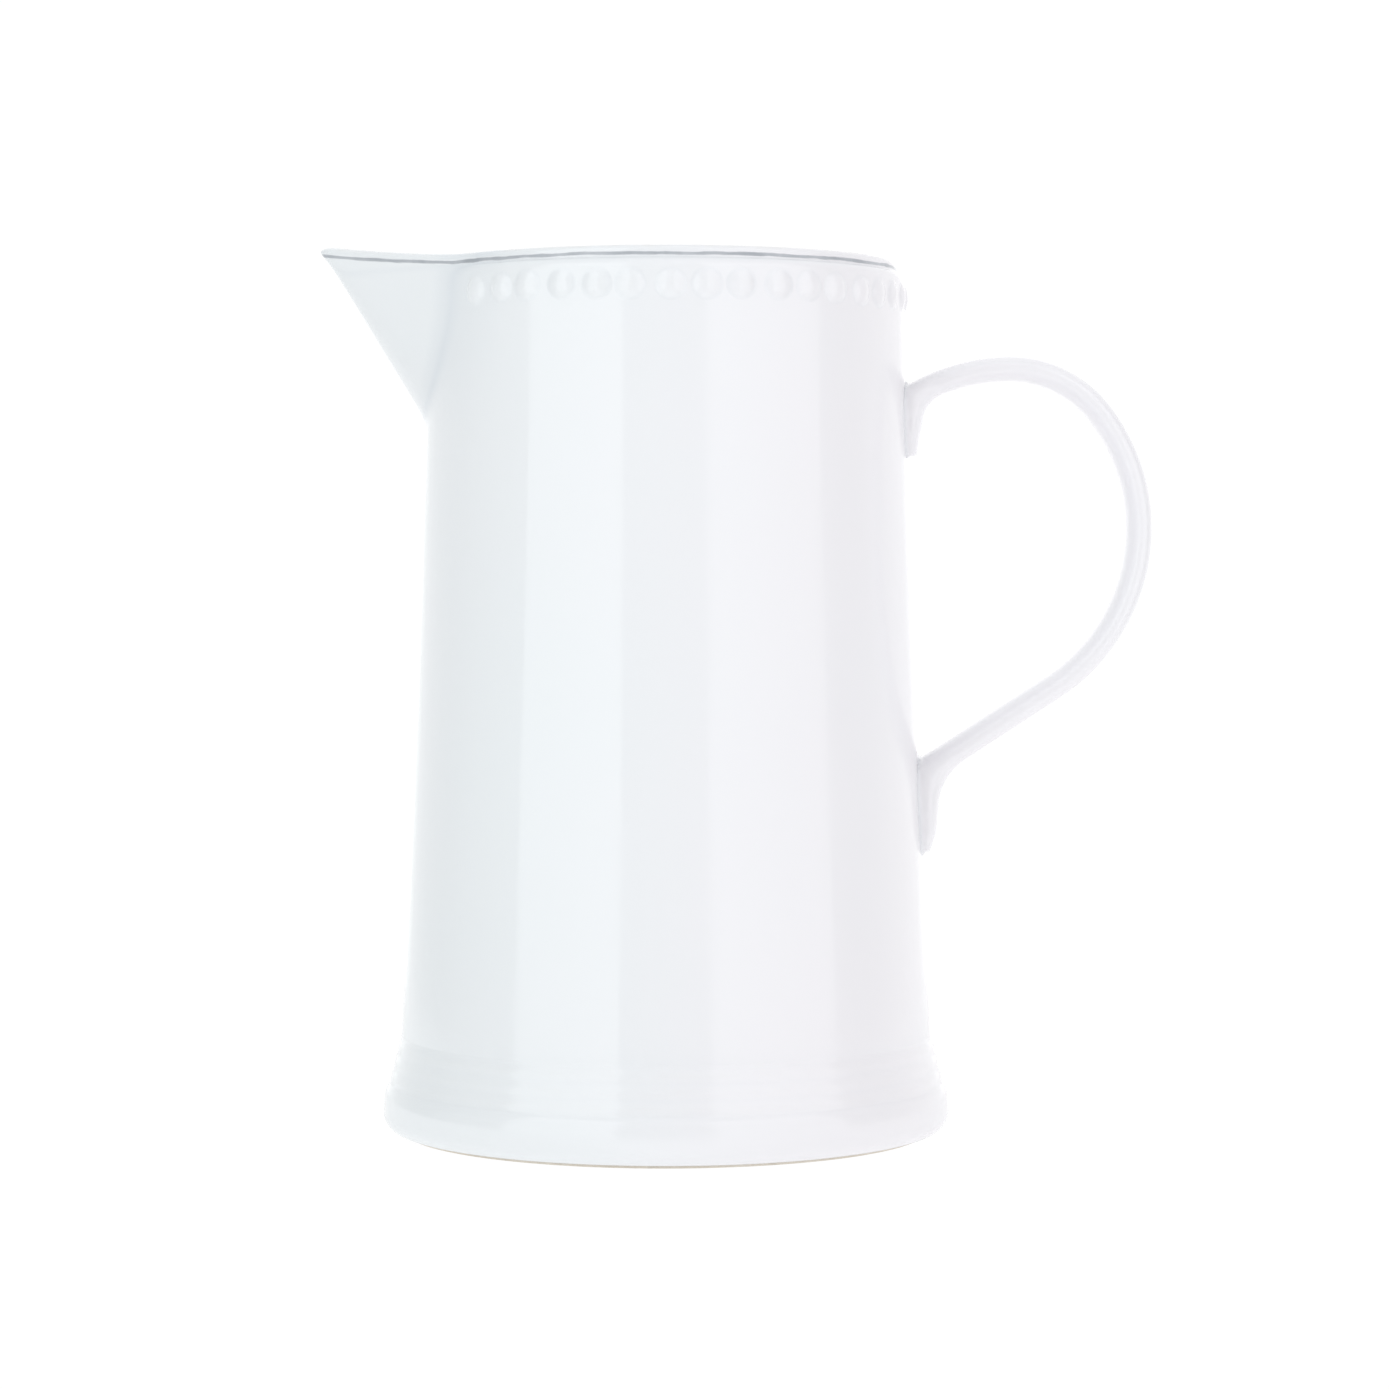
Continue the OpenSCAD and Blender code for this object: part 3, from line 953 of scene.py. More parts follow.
def dress(make: NodeMaker, surface: bpy.types.Node, colour: bpy.types.NodeSocket, depth: float) -> None:
    """Links a surface group to the material's shader.

    Args:
        make: The maker of the material's tree.
        surface: The placed group, which gives the roughness and the height.
        colour: The colour to show.
        depth: The depth of the surface's relief.
    """
    shader = make.of_kind("BSDF_PRINCIPLED")
    relief = {"Height": surface.outputs["Height"], "Distance": depth, "Strength": 1.0}
    bump = make.node("ShaderNodeBump", relief)
    make.link(colour, shader.inputs["Base Color"])
    make.link(surface.outputs["Roughness"], shader.inputs["Roughness"])
    make.link(bump.outputs[0], shader.inputs["Normal"])


@dataclass(frozen=True)
class WhiteGlaze:
    """A glossy white glaze, a little blue where it gathers and in painted shade, a little bare where it
    thins, and painted cooler on the spout's side and warmer on the handle's side as the two lights tint it.
    """

    effects: SharedEffects
    name: str = "white glaze"
    # Painted light: cool shows on the spout's side and warm lilac on the handle's side, for the tints of the
    # two lights.
    cool: tuple = (0.826, 0.862, 0.880, 1.0)
    warm: tuple = (0.874, 0.860, 0.888, 1.0)
    # The darker blue-grey of glaze pooling and of painted shade in hollows.
    pooled_and_shaded: tuple = (0.70, 0.745, 0.79, 1.0)
    thin: tuple = (0.80, 0.79, 0.765, 1.0)
    ripple_depth: float = 0.00002
    refraction: float = 1.5
    pool_and_shade_share: float = 0.5
    thin_share: float = 0.5

    def coat(self, make: NodeMaker) -> bpy.types.Node:
        """Places the glaze's surface in a material, in this glaze's colours."""
        colours = {"Cool": self.cool, "Warm": self.warm, "Pooled And Shaded": self.pooled_and_shaded, "Thin": self.thin}
        return make.group(self.effects.glaze, colours)

    def build(self) -> bpy.types.Material:
        """Builds the material."""
        material, make, shader = new_material(self.name)
        surface = self.coat(make)
        pool_and_shade = make.times(make.attribute("pool_and_shade").outputs["Fac"], self.pool_and_shade_share, clamp=True)
        make.link(pool_and_shade, surface.inputs["Pool And Shade"])
        thin = make.times(make.attribute("thin").outputs["Fac"], self.thin_share, clamp=True)
        make.link(thin, surface.inputs["Thinness"])
        dress(make, surface, surface.outputs["Color"], self.ripple_depth)
        shader.inputs["IOR"].default_value = self.refraction
        return material


@dataclass(frozen=True)
class LineGlaze:
    """The white glaze with a thin brushed line of grey-blue in it."""

    white: WhiteGlaze
    name: str = "line glaze"
    ink: tuple = (0.33, 0.355, 0.39, 1.0)
    faint: tuple = (0.52, 0.545, 0.58, 1.0)
    half_width: float = 0.00046
    hair_scale: tuple = (150.0, 1500.0, 0.0)
    wander: float = 0.00012
    narrow: float = 0.82
    broad: float = 1.2
    stroke_swell: float = 0.45

    def build(self) -> bpy.types.Material:
        """Builds the material."""
        material, make, shader = new_material(self.name)
        surface = self.white.coat(make)
        stroke = make.attribute("stroke").outputs["Vector"]
        parts = make.node("ShaderNodeSeparateXYZ", {0: stroke}).outputs
        squash = make.node("ShaderNodeVectorMath", {0: stroke, 1: self.hair_scale}, operation="MULTIPLY")
        hairs = make.noise(squash.outputs[0], 1.0, 3.0, 0.6)
        wander = make.noise(make.node("ShaderNodeCombineXYZ", {0: parts[0]}).outputs[0], 70.0, 2.0)
        tone = make.noise(make.node("ShaderNodeCombineXYZ", {0: parts[0], 1: 3.0}).outputs[0], 110.0, 3.0)
        across = make.plus(parts[1], make.fit(wander, 0.3, 0.7, -self.wander, self.wander))
        distance = make.math("ABSOLUTE", across)
        width = make.fit(tone, 0.3, 0.75, self.narrow * self.half_width, self.broad * self.half_width)
        width = make.plus(width, make.times(parts[2], self.stroke_swell * self.half_width))
        inside = make.math("DIVIDE", distance, width)
        mask = make.fit(make.plus(inside, make.fit(hairs, 0.2, 0.8, -0.25, 0.25)), 0.55, 1.25, 1.0, 0.0)
        depth = make.plus(make.fit(tone, 0.3, 0.7, 0.25, 0.8), parts[2], clamp=True)
        ink = make.mix(depth, self.faint, self.ink)
        strength = make.times(mask, make.fit(hairs, 0.25, 0.75, 0.8, 1.0), clamp=True)
        colour = make.mix(strength, surface.outputs["Color"], ink)
        dress(make, surface, colour, self.white.ripple_depth)
        shader.inputs["IOR"].default_value = self.white.refraction
        return material


@dataclass(frozen=True)
class BareClay:
    """The matt fired clay of the ring that the pitcher stands on."""

    effects: SharedEffects
    name: str = "bare clay"
    light: tuple = (0.80, 0.755, 0.675, 1.0)
    dark: tuple = (0.70, 0.64, 0.55, 1.0)
    grain_depth: float = 0.00006

    def build(self) -> bpy.types.Material:
        """Builds the material."""
        material, make, _ = new_material(self.name)
        surface = make.group(self.effects.grain, {"Light": self.light, "Dark": self.dark})
        dress(make, surface, surface.outputs["Color"], self.grain_depth)
        return material


@dataclass
class Finishes:
    """The pitcher's materials, built once."""

    white: bpy.types.Material = field(init=False)
    line: bpy.types.Material = field(init=False)
    clay: bpy.types.Material = field(init=False)

    def __post_init__(self) -> None:
        """Builds the materials."""
        effects = SharedEffects()
        white = WhiteGlaze(effects)
        self.white = white.build()
        self.line = LineGlaze(white).build()
        self.clay = BareClay(effects).build()


# ---------------------------------------------------------------- sub-assemblies


@dataclass
class Vessel:
    """The wall of the pot, its lip, its spout and its floor."""

    form: PotForm
    skin: PotSkin
    finishes: Finishes
    floor_steps: int = 160
    floor_dish: float = 0.0006
    floor_sink: float = 0.0004
    under_rise: float = 0.0012
    # Glaze pooling and painted shade in the floor's cove, and painted shade over the underside under the pot.
    cove_pool_and_shade: float = 0.6
    cove_pool_and_shade_out: float = 0.004
    cove_pool_and_shade_width: float = 0.006
    under_pool_and_shade: float = 0.3
    floor_middle: float = 0.006

    def build(self) -> None:
        """Builds and dresses the four pieces."""
        self.build_wall()
        self.build_lip()
        self.build_spout()
        self.build_floor()

    def build_wall(self) -> None:
        """Builds the wall, open where the spout is pulled out of it."""
        skin = self.skin

        def wanted(row: float, angle: float) -> bool:
            """Keeps what is under the lip and outside the spout's zone."""
            return row < skin.sector_row or (row < skin.body_row and not skin.in_sector(angle))

        as_piece(skin.cut(wanted), "body_wall_glazed", self.finishes.white, ["body_wall"])

    def build_lip(self) -> None:
        """Builds the lip, from one side of the spout round to the other."""
        skin = self.skin

        def wanted(row: float, angle: float) -> bool:
            """Keeps the lip outside the spout's zone."""
            return row > skin.body_row and not skin.in_sector(angle)

        as_piece(skin.cut(wanted), "rim_lip_glazed", self.finishes.white, ["rim_lip"])

    def build_spout(self) -> None:
        """Builds the spout with its own length of lip."""
        skin = self.skin

        def wanted(row: float, angle: float) -> bool:
            """Keeps the spout's zone."""
            return row > skin.sector_row and skin.in_sector(angle)

        as_piece(skin.cut(wanted), "spout_glazed", self.finishes.white, ["spout"])

    def build_floor(self) -> None:
        """Builds the floor with the cove that runs up into the wall."""
        form = self.form
        cove_top = form.floor_height + form.cove
        inner = form.wall_radius(cove_top) - form.wall
        sunk = inner + self.floor_sink
        centre = inner - form.cove
        outline = []
        for share in (0.0, 0.2, 0.4, 0.6, 0.8, 0.95):
            outline.append((centre * share, form.floor_height - self.floor_dish * (1.0 - share**2)))
        for degrees in range(0, 91, 6):
            angle = math.radians(degrees)
            outline.append((centre + form.cove * math.sin(angle), cove_top - form.cove * math.cos(angle)))
        outline += [(sunk, cove_top + 0.001), (sunk, form.foot_height + 0.0002)]
        under = ((0.066, 0.0), (0.062, 0.0001), (0.04, 0.0006), (0.02, 0.0010), (0.0, self.under_rise))
        outline += [(out, form.foot_height + rise) for out, rise in under]
        mesh = bmesh.new()
        spun(mesh, outline, self.floor_steps, closed=False)
        pool_and_shade = float_layer(mesh, "pool_and_shade")
        # Painted shade and glaze pooling: a darker ring in the cove, and darker all over the underside.
        for vert in mesh.verts:
            out = math.hypot(vert.co.x, vert.co.y) - centre - self.cove_pool_and_shade_out
            in_cove = self.cove_pool_and_shade * math.exp(-((out / self.cove_pool_and_shade_width) ** 2))
            vert[pool_and_shade] = in_cove if vert.co.z > self.floor_middle else self.under_pool_and_shade
        as_piece(mesh, "base_floor_glazed", self.finishes.white, ["base_floor"])


@dataclass(frozen=True)
class Stroke:
    """One place where the brush left more colour.

    Attributes:
        at: Its angle from the spout, in radians.
        width: How far it fades on each side, in radians.
        depth: How much darker it is, from 0 to 1.
    """

    at: float
    width: float
    depth: float


@dataclass
class PaintedLine:
    """The brushed line round the lip and along both sides of the spout."""

    form: PotForm
    skin: PotSkin
    finishes: Finishes
    centre: float = 0.23578
    half_band: float = 0.00078
    proud: float = 0.00003
    edge_drop: float = 0.00006
    depth: float = 0.00025
    rows: int = 11
    strokes: tuple[Stroke, ...] = (
        Stroke(0.64, 0.045, 0.6),
        Stroke(-0.645, 0.05, 1.0),
        Stroke(1.35, 0.07, 0.35),
        Stroke(2.2, 0.05, 0.3),
        Stroke(-1.9, 0.08, 0.3),
    )

    def build(self) -> None:
        """Builds and dresses both lengths of the line."""
        self.build_band("rim_line_painted", ["rim_line"], in_spout=False)
        self.build_band("spout_line_painted", ["spout_line"], in_spout=True)

    def tone_at(self, angle: float) -> float:
        """Gives the extra darkness of the brush's strokes at an angle from the spout."""
        tone = 0.0
        for stroke in self.strokes:
            tone += stroke.depth * math.exp(-(((angle - stroke.at) / stroke.width) ** 2))
        return tone

    def build_band(self, name: str, nodes: list[str], in_spout: bool) -> None:
        """Builds one closed band that lies on the lip.

        Args:
            name: The piece's name.
            nodes: The CAD nodes that it stands for.
            in_spout: Whether the band runs in the spout's zone or round the rest of the lip.
        """
        form, skin = self.form, self.skin
        last = self.rows - 1
        heights = [self.centre + self.half_band * (2.0 * row / last - 1.0) for row in range(self.rows)]
        mesh = spun_sheets({side: self.rows for side in Side}, skin.columns)
        side_layer = float_layer(mesh, "side")
        stroke = mesh.verts.layers.float_vector.new("stroke")
        for vert in mesh.verts:
            side = side_of(vert.co)
            row = round(vert.co.z)
            angle = warp_angle(turn_of(vert.co))
            place, _ = form.place(Row(form.lip_radius, heights[row]), angle, Side.OUTSIDE)
            out = -self.depth
            if side is Side.OUTSIDE:
                out = self.proud - self.edge_drop if row in (0, last) else self.proud
            vert.co = place + Vector((place.x, place.y, 0.0)).normalized() * out
            vert[side_layer] = side.value
            along = angle * form.lip_radius
            vert[stroke] = Vector((along, heights[row] - self.centre, self.tone_at(angle)))
        bmesh.ops.recalc_face_normals(mesh, faces=mesh.faces)
        skin.face_out(mesh, side_layer)
        remember_normals(mesh)
        keep_faces(mesh, lambda face: skin.in_sector(turn_of(face.calc_center_median())) == in_spout)
        cut_layer = mark_whole(mesh)
        made = bmesh.ops.bridge_loops(mesh, edges=open_edges(mesh))
        cap(made["faces"], cut_layer)
        turn_outward(mesh)
        mesh.verts.layers.float.remove(mesh.verts.layers.float["side"])
        as_piece(mesh, name, self.finishes.line, nodes)


@dataclass
class BeadRow:
    """The row of soft raised beads under the rim.

    Attributes:
        form: The pot's form.
        finishes: The pitcher's materials.
        count: How many beads there are.
        height: The height of their middles.
        first_turn: The angle of the first bead from the spout, in degrees.
        half_width: Where a bead's dome would meet the wall without its skirt.
        shoulder: Where the dome ends and the skirt starts.
        rise: How far a bead stands out.
        around: How many steps go round a bead.
        wander: How far beads stray along the row, in radians.
        wander_up: How far they stray up and down.
        odd_size: How much they differ in size, as a share.
        base_depth: How far a bead's flat back is sunk in the wall.
        pool_and_shade_ring: Where round a bead's foot the glaze gathers and painted shade darkens it.
        pool_and_shade_width: How wide that ring is.
        pool_and_shade_depth: How much glaze pooling and painted shade darken it.
        thin_top: How much the glaze thins on a bead's top.
        thin_width: How far out the thinning goes.
    """

    form: PotForm
    finishes: Finishes
    count: int = 34
    height: float = 0.2279
    first_turn: float = 39.83
    half_width: float = 0.0038
    shoulder: float = 0.0032
    rise: float = 0.00105
    around: int = 32
    wander: float = 0.0075
    wander_up: float = 0.00016
    odd_size: float = 0.02
    base_depth: float = 0.0004
    pool_and_shade_ring: float = 0.0039
    pool_and_shade_width: float = 0.0007
    pool_and_shade_depth: float = 0.28
    thin_top: float = 0.2
    thin_width: float = 0.002

    def profile(self) -> list[tuple[float, float]]:
        """Gives a bead's outline: a low dome with a skirt that runs out on to the wall."""
        skirt = self.shoulder + (self.half_width**2 - self.shoulder**2) / self.shoulder
        points = []
        for share in (0.0, 0.1, 0.22, 0.36, 0.5, 0.64, 0.77, 0.89, 1.0):
            out = self.shoulder * share
            points.append((out, self.rise * (1.0 - (out / self.half_width) ** 2)))
        fall = self.rise * (1.0 - (self.shoulder / self.half_width) ** 2) / (skirt - self.shoulder) ** 2
        for share in (0.2, 0.4, 0.6, 0.8, 1.0):
            out = self.shoulder + (skirt - self.shoulder) * share
            points.append((out, fall * (skirt - out) ** 2 - 0.00001 * share))
        return points + [(skirt + 0.0001, -self.base_depth), (0.0, -self.base_depth)]

    def build(self) -> None:
        """Builds and dresses the beads as one piece."""
        one = bmesh.new()
        spun(one, self.profile(), self.around, closed=False)
        pattern = bpy.data.meshes.new("bead pattern")
        one.to_mesh(pattern)
        one.free()
        mesh = bmesh.new()
        pool_and_shade = float_layer(mesh, "pool_and_shade")
        thin = float_layer(mesh, "thin")
        first = math.radians(self.first_turn)
        for index in range(self.count):
            middle = first + (FULL_TURN - 2.0 * first) * index / (self.count - 1)
            middle += self.wander * math.sin(4.1 * index)
            jitter = self.wander_up * math.sin(5.3 * index)
            before = len(mesh.verts)
            mesh.from_mesh(pattern)
            mesh.verts.ensure_lookup_table()
            size = 1.0 + self.odd_size * math.sin(2.7 * index)
            for vert in mesh.verts[before:]:
                self.bend(vert, middle, jitter, size, pool_and_shade, thin)
        bpy.data.meshes.remove(pattern)
        turn_outward(mesh)
        as_piece(mesh, "bead_row_glazed", self.finishes.white, ["bead_row"], crease=60.0)

    def bend(
        self,
        vert: bmesh.types.BMVert,
        middle: float,
        lift: float,
        size: float,
        pool_and_shade: bmesh.types.BMLayerItem,
        thin: bmesh.types.BMLayerItem,
    ) -> None:
        """Moves a point of the pattern on to the neck.

        Args:
            vert: The point, in the pattern's own place.
            middle: The bead's angle from the spout.
            lift: How far the bead sits above its row.
            size: How wide the bead is beside the pattern.
            pool_and_shade: The layer for the glaze's pooling and the painted shade round the bead.
            thin: The layer for the glaze's thinning.
        """
        out = math.hypot(vert.co.x, vert.co.y)
        # Glaze pooling and painted shade: a darker ring round the bead's foot.
        vert[pool_and_shade] = self.pool_and_shade_depth * math.exp(-(((out - self.pool_and_shade_ring) / self.pool_and_shade_width) ** 2))
        vert[thin] = self.thin_top * max(0.0, 1.0 - out / self.thin_width)
        angle = middle + size * vert.co.x / self.form.neck_radius
        height = self.height + lift + size * vert.co.y
        radius, _ = self.form.outside(angle, self.form.wall_radius(height), height)
        if height > self.form.shoulder_low:
            share = (height - self.form.shoulder_low) / self.form.shoulder_rise
            drop = self.form.neck_radius - self.form.lip_radius
            radius -= drop * (1.0 - math.sqrt(max(0.0, 1.0 - share * share)))
        vert.co = at_turn(radius + vert.co.z, angle, height)


@dataclass
class Plinth:
    """The ribbed band round the base and the bare ring that the pitcher stands on."""

    form: PotForm
    finishes: Finishes
    stands_out: float = 0.0039
    groove_share: float = 0.65
    foot_share: float = 0.8
    roundness: float = 3.5
    band_top: float = 0.0136
    ribs: int = 3
    rib_swell: float = 0.00014
    row_step: float = 0.0003
    top_run: float = 0.0012
    top_sink: float = 0.001
    # Glaze pooling and painted shade in the grooves and along the band's bottom edge.
    groove_pool_and_shade: float = 0.12
    groove_fade: float = 0.0007
    rib_thin: float = 0.12
    rib_fade: float = 0.0008
    edge_pool_and_shade: float = 0.2
    edge_fade: float = 0.0012
    lift: float = 0.001
    ring_outer: float = 0.07256
    ring_width: float = 0.009
    ring_corner: float = 0.0006
    steps: int = 360
    ring_steps: int = 240

    @cached_property
    def rib_height(self) -> float:
        """The height of one rib."""
        return (self.form.plinth_height - self.band_top) / self.ribs

    def radius(self, height: float) -> float:
        """Gives the plinth's outside radius at a height."""
        wall = self.form.wall_radius(height)
        groove = self.groove_share * self.stands_out
        if height > self.band_top:
            under_top = self.form.plinth_height - height
            share = under_top / (self.form.plinth_height - self.band_top)
            swing = math.sin(math.pi * under_top / self.rib_height)
            return wall + groove * share + self.rib_swell * swing * swing
        middle = (self.band_top + self.lift) / 2.0
        share = abs(height - middle) / (self.band_top - middle)
        drop = self.stands_out - groove if height > middle else self.foot_share * self.stands_out
        return wall + self.stands_out - drop * share**self.roundness

    def build(self) -> None:
        """Builds and dresses the band and the ring."""
        self.build_band()
        self.build_ring()

    def build_band(self) -> None:
        """Builds the ribbed band."""
        form = self.form
        corner = self.ring_corner
        outline = [(self.ring_outer, form.foot_height), (self.ring_outer, self.lift + corner)]
        outline += [(self.ring_outer + corner, self.lift), (self.radius(self.lift) - 0.0005, self.lift)]
        heights = spaced(self.lift + self.row_step, form.plinth_height + 1e-6, self.row_step)
        outline += [(self.radius(height), height) for height in heights]
        top = form.plinth_height + self.top_run
        outline += [(form.wall_radius(top) - 0.00003, top)]
        outline += [(form.wall_radius(form.plinth_height) - self.top_sink, top)]
        outline += [(form.wall_radius(form.foot_height) - self.top_sink, form.foot_height)]
        mesh = bmesh.new()
        spun(mesh, outline, self.steps, closed=True)
        pool_and_shade = float_layer(mesh, "pool_and_shade")
        thin = float_layer(mesh, "thin")
        for vert in mesh.verts:
            flat = Vector((vert.co.x, vert.co.y, 0.0)).normalized()
            vert.co += flat * form.uneven(turn_of(vert.co), vert.co.z)
            phase = (form.plinth_height - vert.co.z) / self.rib_height
            near = abs(phase - round(phase)) * self.rib_height
            if vert.co.z > self.band_top - 0.001:
                # Glaze pooling and painted shade in the grooves between the ribs.
                vert[pool_and_shade] = self.groove_pool_and_shade * math.exp(-((near / self.groove_fade) ** 2))
                off_crest = (near - self.rib_height / 2) / self.rib_fade
                vert[thin] = self.rib_thin * math.exp(-(off_crest**2))
            # Glaze pooling and painted shade along the band's bottom edge, just over the floor.
            vert[pool_and_shade] += self.edge_pool_and_shade * math.exp(-(((vert.co.z - self.lift) / self.edge_fade) ** 2))
        as_piece(mesh, "plinth_band_glazed", self.finishes.white, ["plinth_band"], crease=50.0)

    def build_ring(self) -> None:
        """Builds the bare foot ring, with its corners eased."""
        inner = self.ring_outer - self.ring_width
        corner = self.ring_corner
        top = self.form.foot_height
        outline = [(inner - 0.0004, top), (inner, top - 0.0005)]
        inner_turn = (inner + corner, (180, 202, 225, 248, 270))
        outer_turn = (self.ring_outer - corner, (270, 292, 315, 338, 360))
        for middle, stops in (inner_turn, outer_turn):
            for degrees in stops:
                angle = math.radians(degrees)
                outline.append((middle + corner * math.cos(angle), corner + corner * math.sin(angle)))
        outline.append((self.ring_outer, top))
        mesh = bmesh.new()
        spun(mesh, outline, self.ring_steps, closed=True)
        as_piece(mesh, "foot_ring_bare", self.finishes.clay, ["foot_ring"])


@dataclass(frozen=True)
class Station:
    """One ring of the handle.

    Attributes:
        under: The middle of its under face, as (x, z).
        over: The middle of its outer face, as (x, z).
        half_width: Half of its width.
        wrap: How closely it wraps round the wall, from 0 to 1.
    """

    under: Vector
    over: Vector
    half_width: float
    wrap: float = 0.0


@dataclass
class Handle:
    """The strap handle and the two tails that are pressed on to the wall.

    The strap's outer face runs along three arcs: the grip, the crown and the inlet. Angles are in
    degrees from +X in the handle's own plane, whose points are (x, z).
    """

    form: PotForm
    finishes: Finishes
    thickness: float = 0.0074
    half_width: float = 0.011
    grip: Vector = field(default_factory=lambda: Vector((0.0780, 0.1652)))
    grip_radius: float = 0.0555
    crown: Vector = field(default_factory=lambda: Vector((0.09423, 0.17788)))
    crown_radius: float = 0.0349
    inlet: Vector = field(default_factory=lambda: Vector((0.09423, 0.15778)))
    inlet_radius: float = 0.055
    crown_turn: float = 38.0
    grip_turn: float = 57.0
    inlet_end: float = 113.0
    upper_bend: float = 0.008
    upper_root: float = 0.0132
    upper_tip: float = 0.0116
    upper_corner: float = 0.0692
    upper_end: float = 0.1849
    upper_meets: float = 0.2020
    lower_bend: float = 0.016
    lower_root: float = 0.0128
    lower_tip: float = 0.0112
    lower_front: float = 0.0752
    lower_middle: float = 0.0747
    lower_corner: float = 0.0730
    lower_end: float = 0.0768
    lower_back: float = 0.088
    joint_steps: int = 22
    inlet_steps: int = 24
    straight_step: float = 0.0024
    end_corner: float = 0.0013
    skirt: float = 0.0013
    sunk: float = 0.0018
    squareness: float = 2.35
    flat_tail: float = 1.0
    around: int = 96
    strap_from: int = 0
    strap_to: int = 0

    END_REACH: ClassVar[float] = 3.4
    END_PULL: ClassVar[float] = 1.5
    BACK_LIFT: ClassVar[float] = 0.0012

    @staticmethod
    def polar(centre: Vector, radius: float, degrees: float) -> Vector:
        """Gives the point at an angle on a circle."""
        angle = math.radians(degrees)
        return centre + Vector((math.cos(angle), math.sin(angle))) * radius

    @staticmethod
    def along(points: Sequence[Vector], share: float) -> Vector:
        """Gives the point at a share of a broken line's length."""
        lengths = [(b - a).length for a, b in zip(points, points[1:])]
        left = share * sum(lengths)
        for (a, b), length in zip(zip(points, points[1:]), lengths):
            if left <= length:
                return a.lerp(b, left / length)
            left -= length
        return points[-1].copy()

    def arc(self, centre: Vector, radius: float, start: float, end: float, step: float) -> list[Station]:
        """Lists the rings along an arc of the strap, without the last.

        Args:
            centre: The arc's centre.
            radius: The radius of the strap's outer face.
            start: The angle where the arc starts, in degrees.
            end: The angle where it ends.
            step: The widest turn between two rings.

        Returns:
            The rings in order.
        """
        rings = []
        for degrees in spaced(start, end, step):
            under = self.polar(centre, radius - self.thickness, degrees)
            rings.append(Station(under, self.polar(centre, radius, degrees), self.half_width))
        return rings

    def tail_front(self, top: Vector, middle: Vector, low: Vector, end: float) -> list[Vector]:
        """Lists the points down a tail's face, round its low corner and back to the wall.

        Args:
            top: Where the face starts, as (x, z).
            middle: A point that the face runs through.
            low: The sharp corner at the low end.
            end: How far out the bottom starts at the wall.

        Returns:
            The points in order.
        """
        corner = self.end_corner
        above = low + (middle - low).normalized() * corner
        behind = Vector((low.x - corner, low.y))
        points = [top.lerp(middle, share) for share in spaced(0.0, 1.0, 0.16)]
        points += [middle.lerp(above, share) for share in spaced(0.0, 1.0, 0.12)]
        for share in spaced(0.0, 1.0, 0.15):
            back = 1.0 - share
            points.append(above * back * back + low * 2.0 * back * share + behind * share * share)
        points += [behind.lerp(Vector((end, low.y)), share) for share in (0.0, 0.35, 0.7, 1.0)]
        return points

    def tail_rings(self, front: list[Vector], back_top: float, root: float, end: float) -> list[Station]:
        """Lists a tail's rings from the joint down, each from the wall out to a point of the face.

        Args:
            front: The points down the tail's face.
            back_top: The height on the wall where the first ring starts.
            root: The half width at the joint.
            end: The half width at the low end.

        Returns:
            The rings in order.
        """
        lengths = [0.0]
        for a, b in zip(front, front[1:]):
            lengths.append(lengths[-1] + (b - a).length)
        low = front[-1].y
        rings = []
        for point, length in zip(front, lengths):
            share = length / lengths[-1]
            near_end = max(0.0, 1.0 - (lengths[-1] - length) / (self.END_REACH * self.end_corner))
            width = root + (end - root) * share - self.END_PULL * self.end_corner * near_end**2
            back_z = back_top + (low + self.BACK_LIFT - back_top) * share
            back = Vector((self.form.wall_radius(back_z) - self.sunk, back_z))
            rings.append(Station(back, point, width, 1.0))
        return rings

    def lower_tail(self) -> tuple[list[Station], list[Station]]:
        """Lists the rings of the lower tail, and those of the strap's straight run up from it."""
        slant = math.radians(self.grip_turn)
        along = Vector((-math.sin(slant), -math.cos(slant)))
        normal = Vector((-math.cos(slant), math.sin(slant)))
        face = self.polar(self.grip, self.grip_radius, -self.grip_turn)
        centre_x = self.lower_front + self.lower_bend
        drop = (-self.lower_bend - (centre_x - face.x) * normal.x) / normal.y
        centre = Vector((centre_x, face.y + drop))
        start = 180.0 - self.grip_turn
        over_start = self.polar(centre, self.lower_bend, start)
        under_start = over_start + normal * self.thickness
        wall_x = self.form.wall_radius(under_start.y)
        reach = (under_start.x - wall_x + self.sunk) / -along.x
        hidden = under_start + along * reach
        deep = Vector((self.form.wall_radius(self.lower_back) - self.sunk, centre.y + 0.002))
        back_line = [under_start, hidden, hidden.lerp(deep, 0.4) + Vector((-0.0006, 0.0)), deep]
        top = Vector((self.lower_front, centre.y))
        middle = Vector((self.lower_middle, (centre.y + self.lower_end) / 2.0))
        low = Vector((self.lower_corner, self.lower_end))
        front = self.tail_front(top, middle, low, self.form.wall_radius(self.lower_end) - self.sunk)
        rings = self.tail_rings(front, deep.y, self.lower_root, self.lower_tip)[:0:-1]
        for index in range(self.joint_steps, -1, -1):
            share = index / self.joint_steps
            over = self.polar(centre, self.lower_bend, start + (180.0 - start) * share)
            under = self.along(back_line, share)
            width = self.half_width + (self.lower_root - self.half_width) * ease(share, 0.0, 0.9)
            rings.append(Station(under, over, width, ease(share, 0.3, 1.0)))
        run = (face - over_start).length
        straight = []
        for share in spaced(0.0, 1.0, self.straight_step / run)[1:]:
            over = over_start.lerp(face, share)
            straight.append(Station(over + normal * self.thickness, over, self.half_width))
        return rings, straight

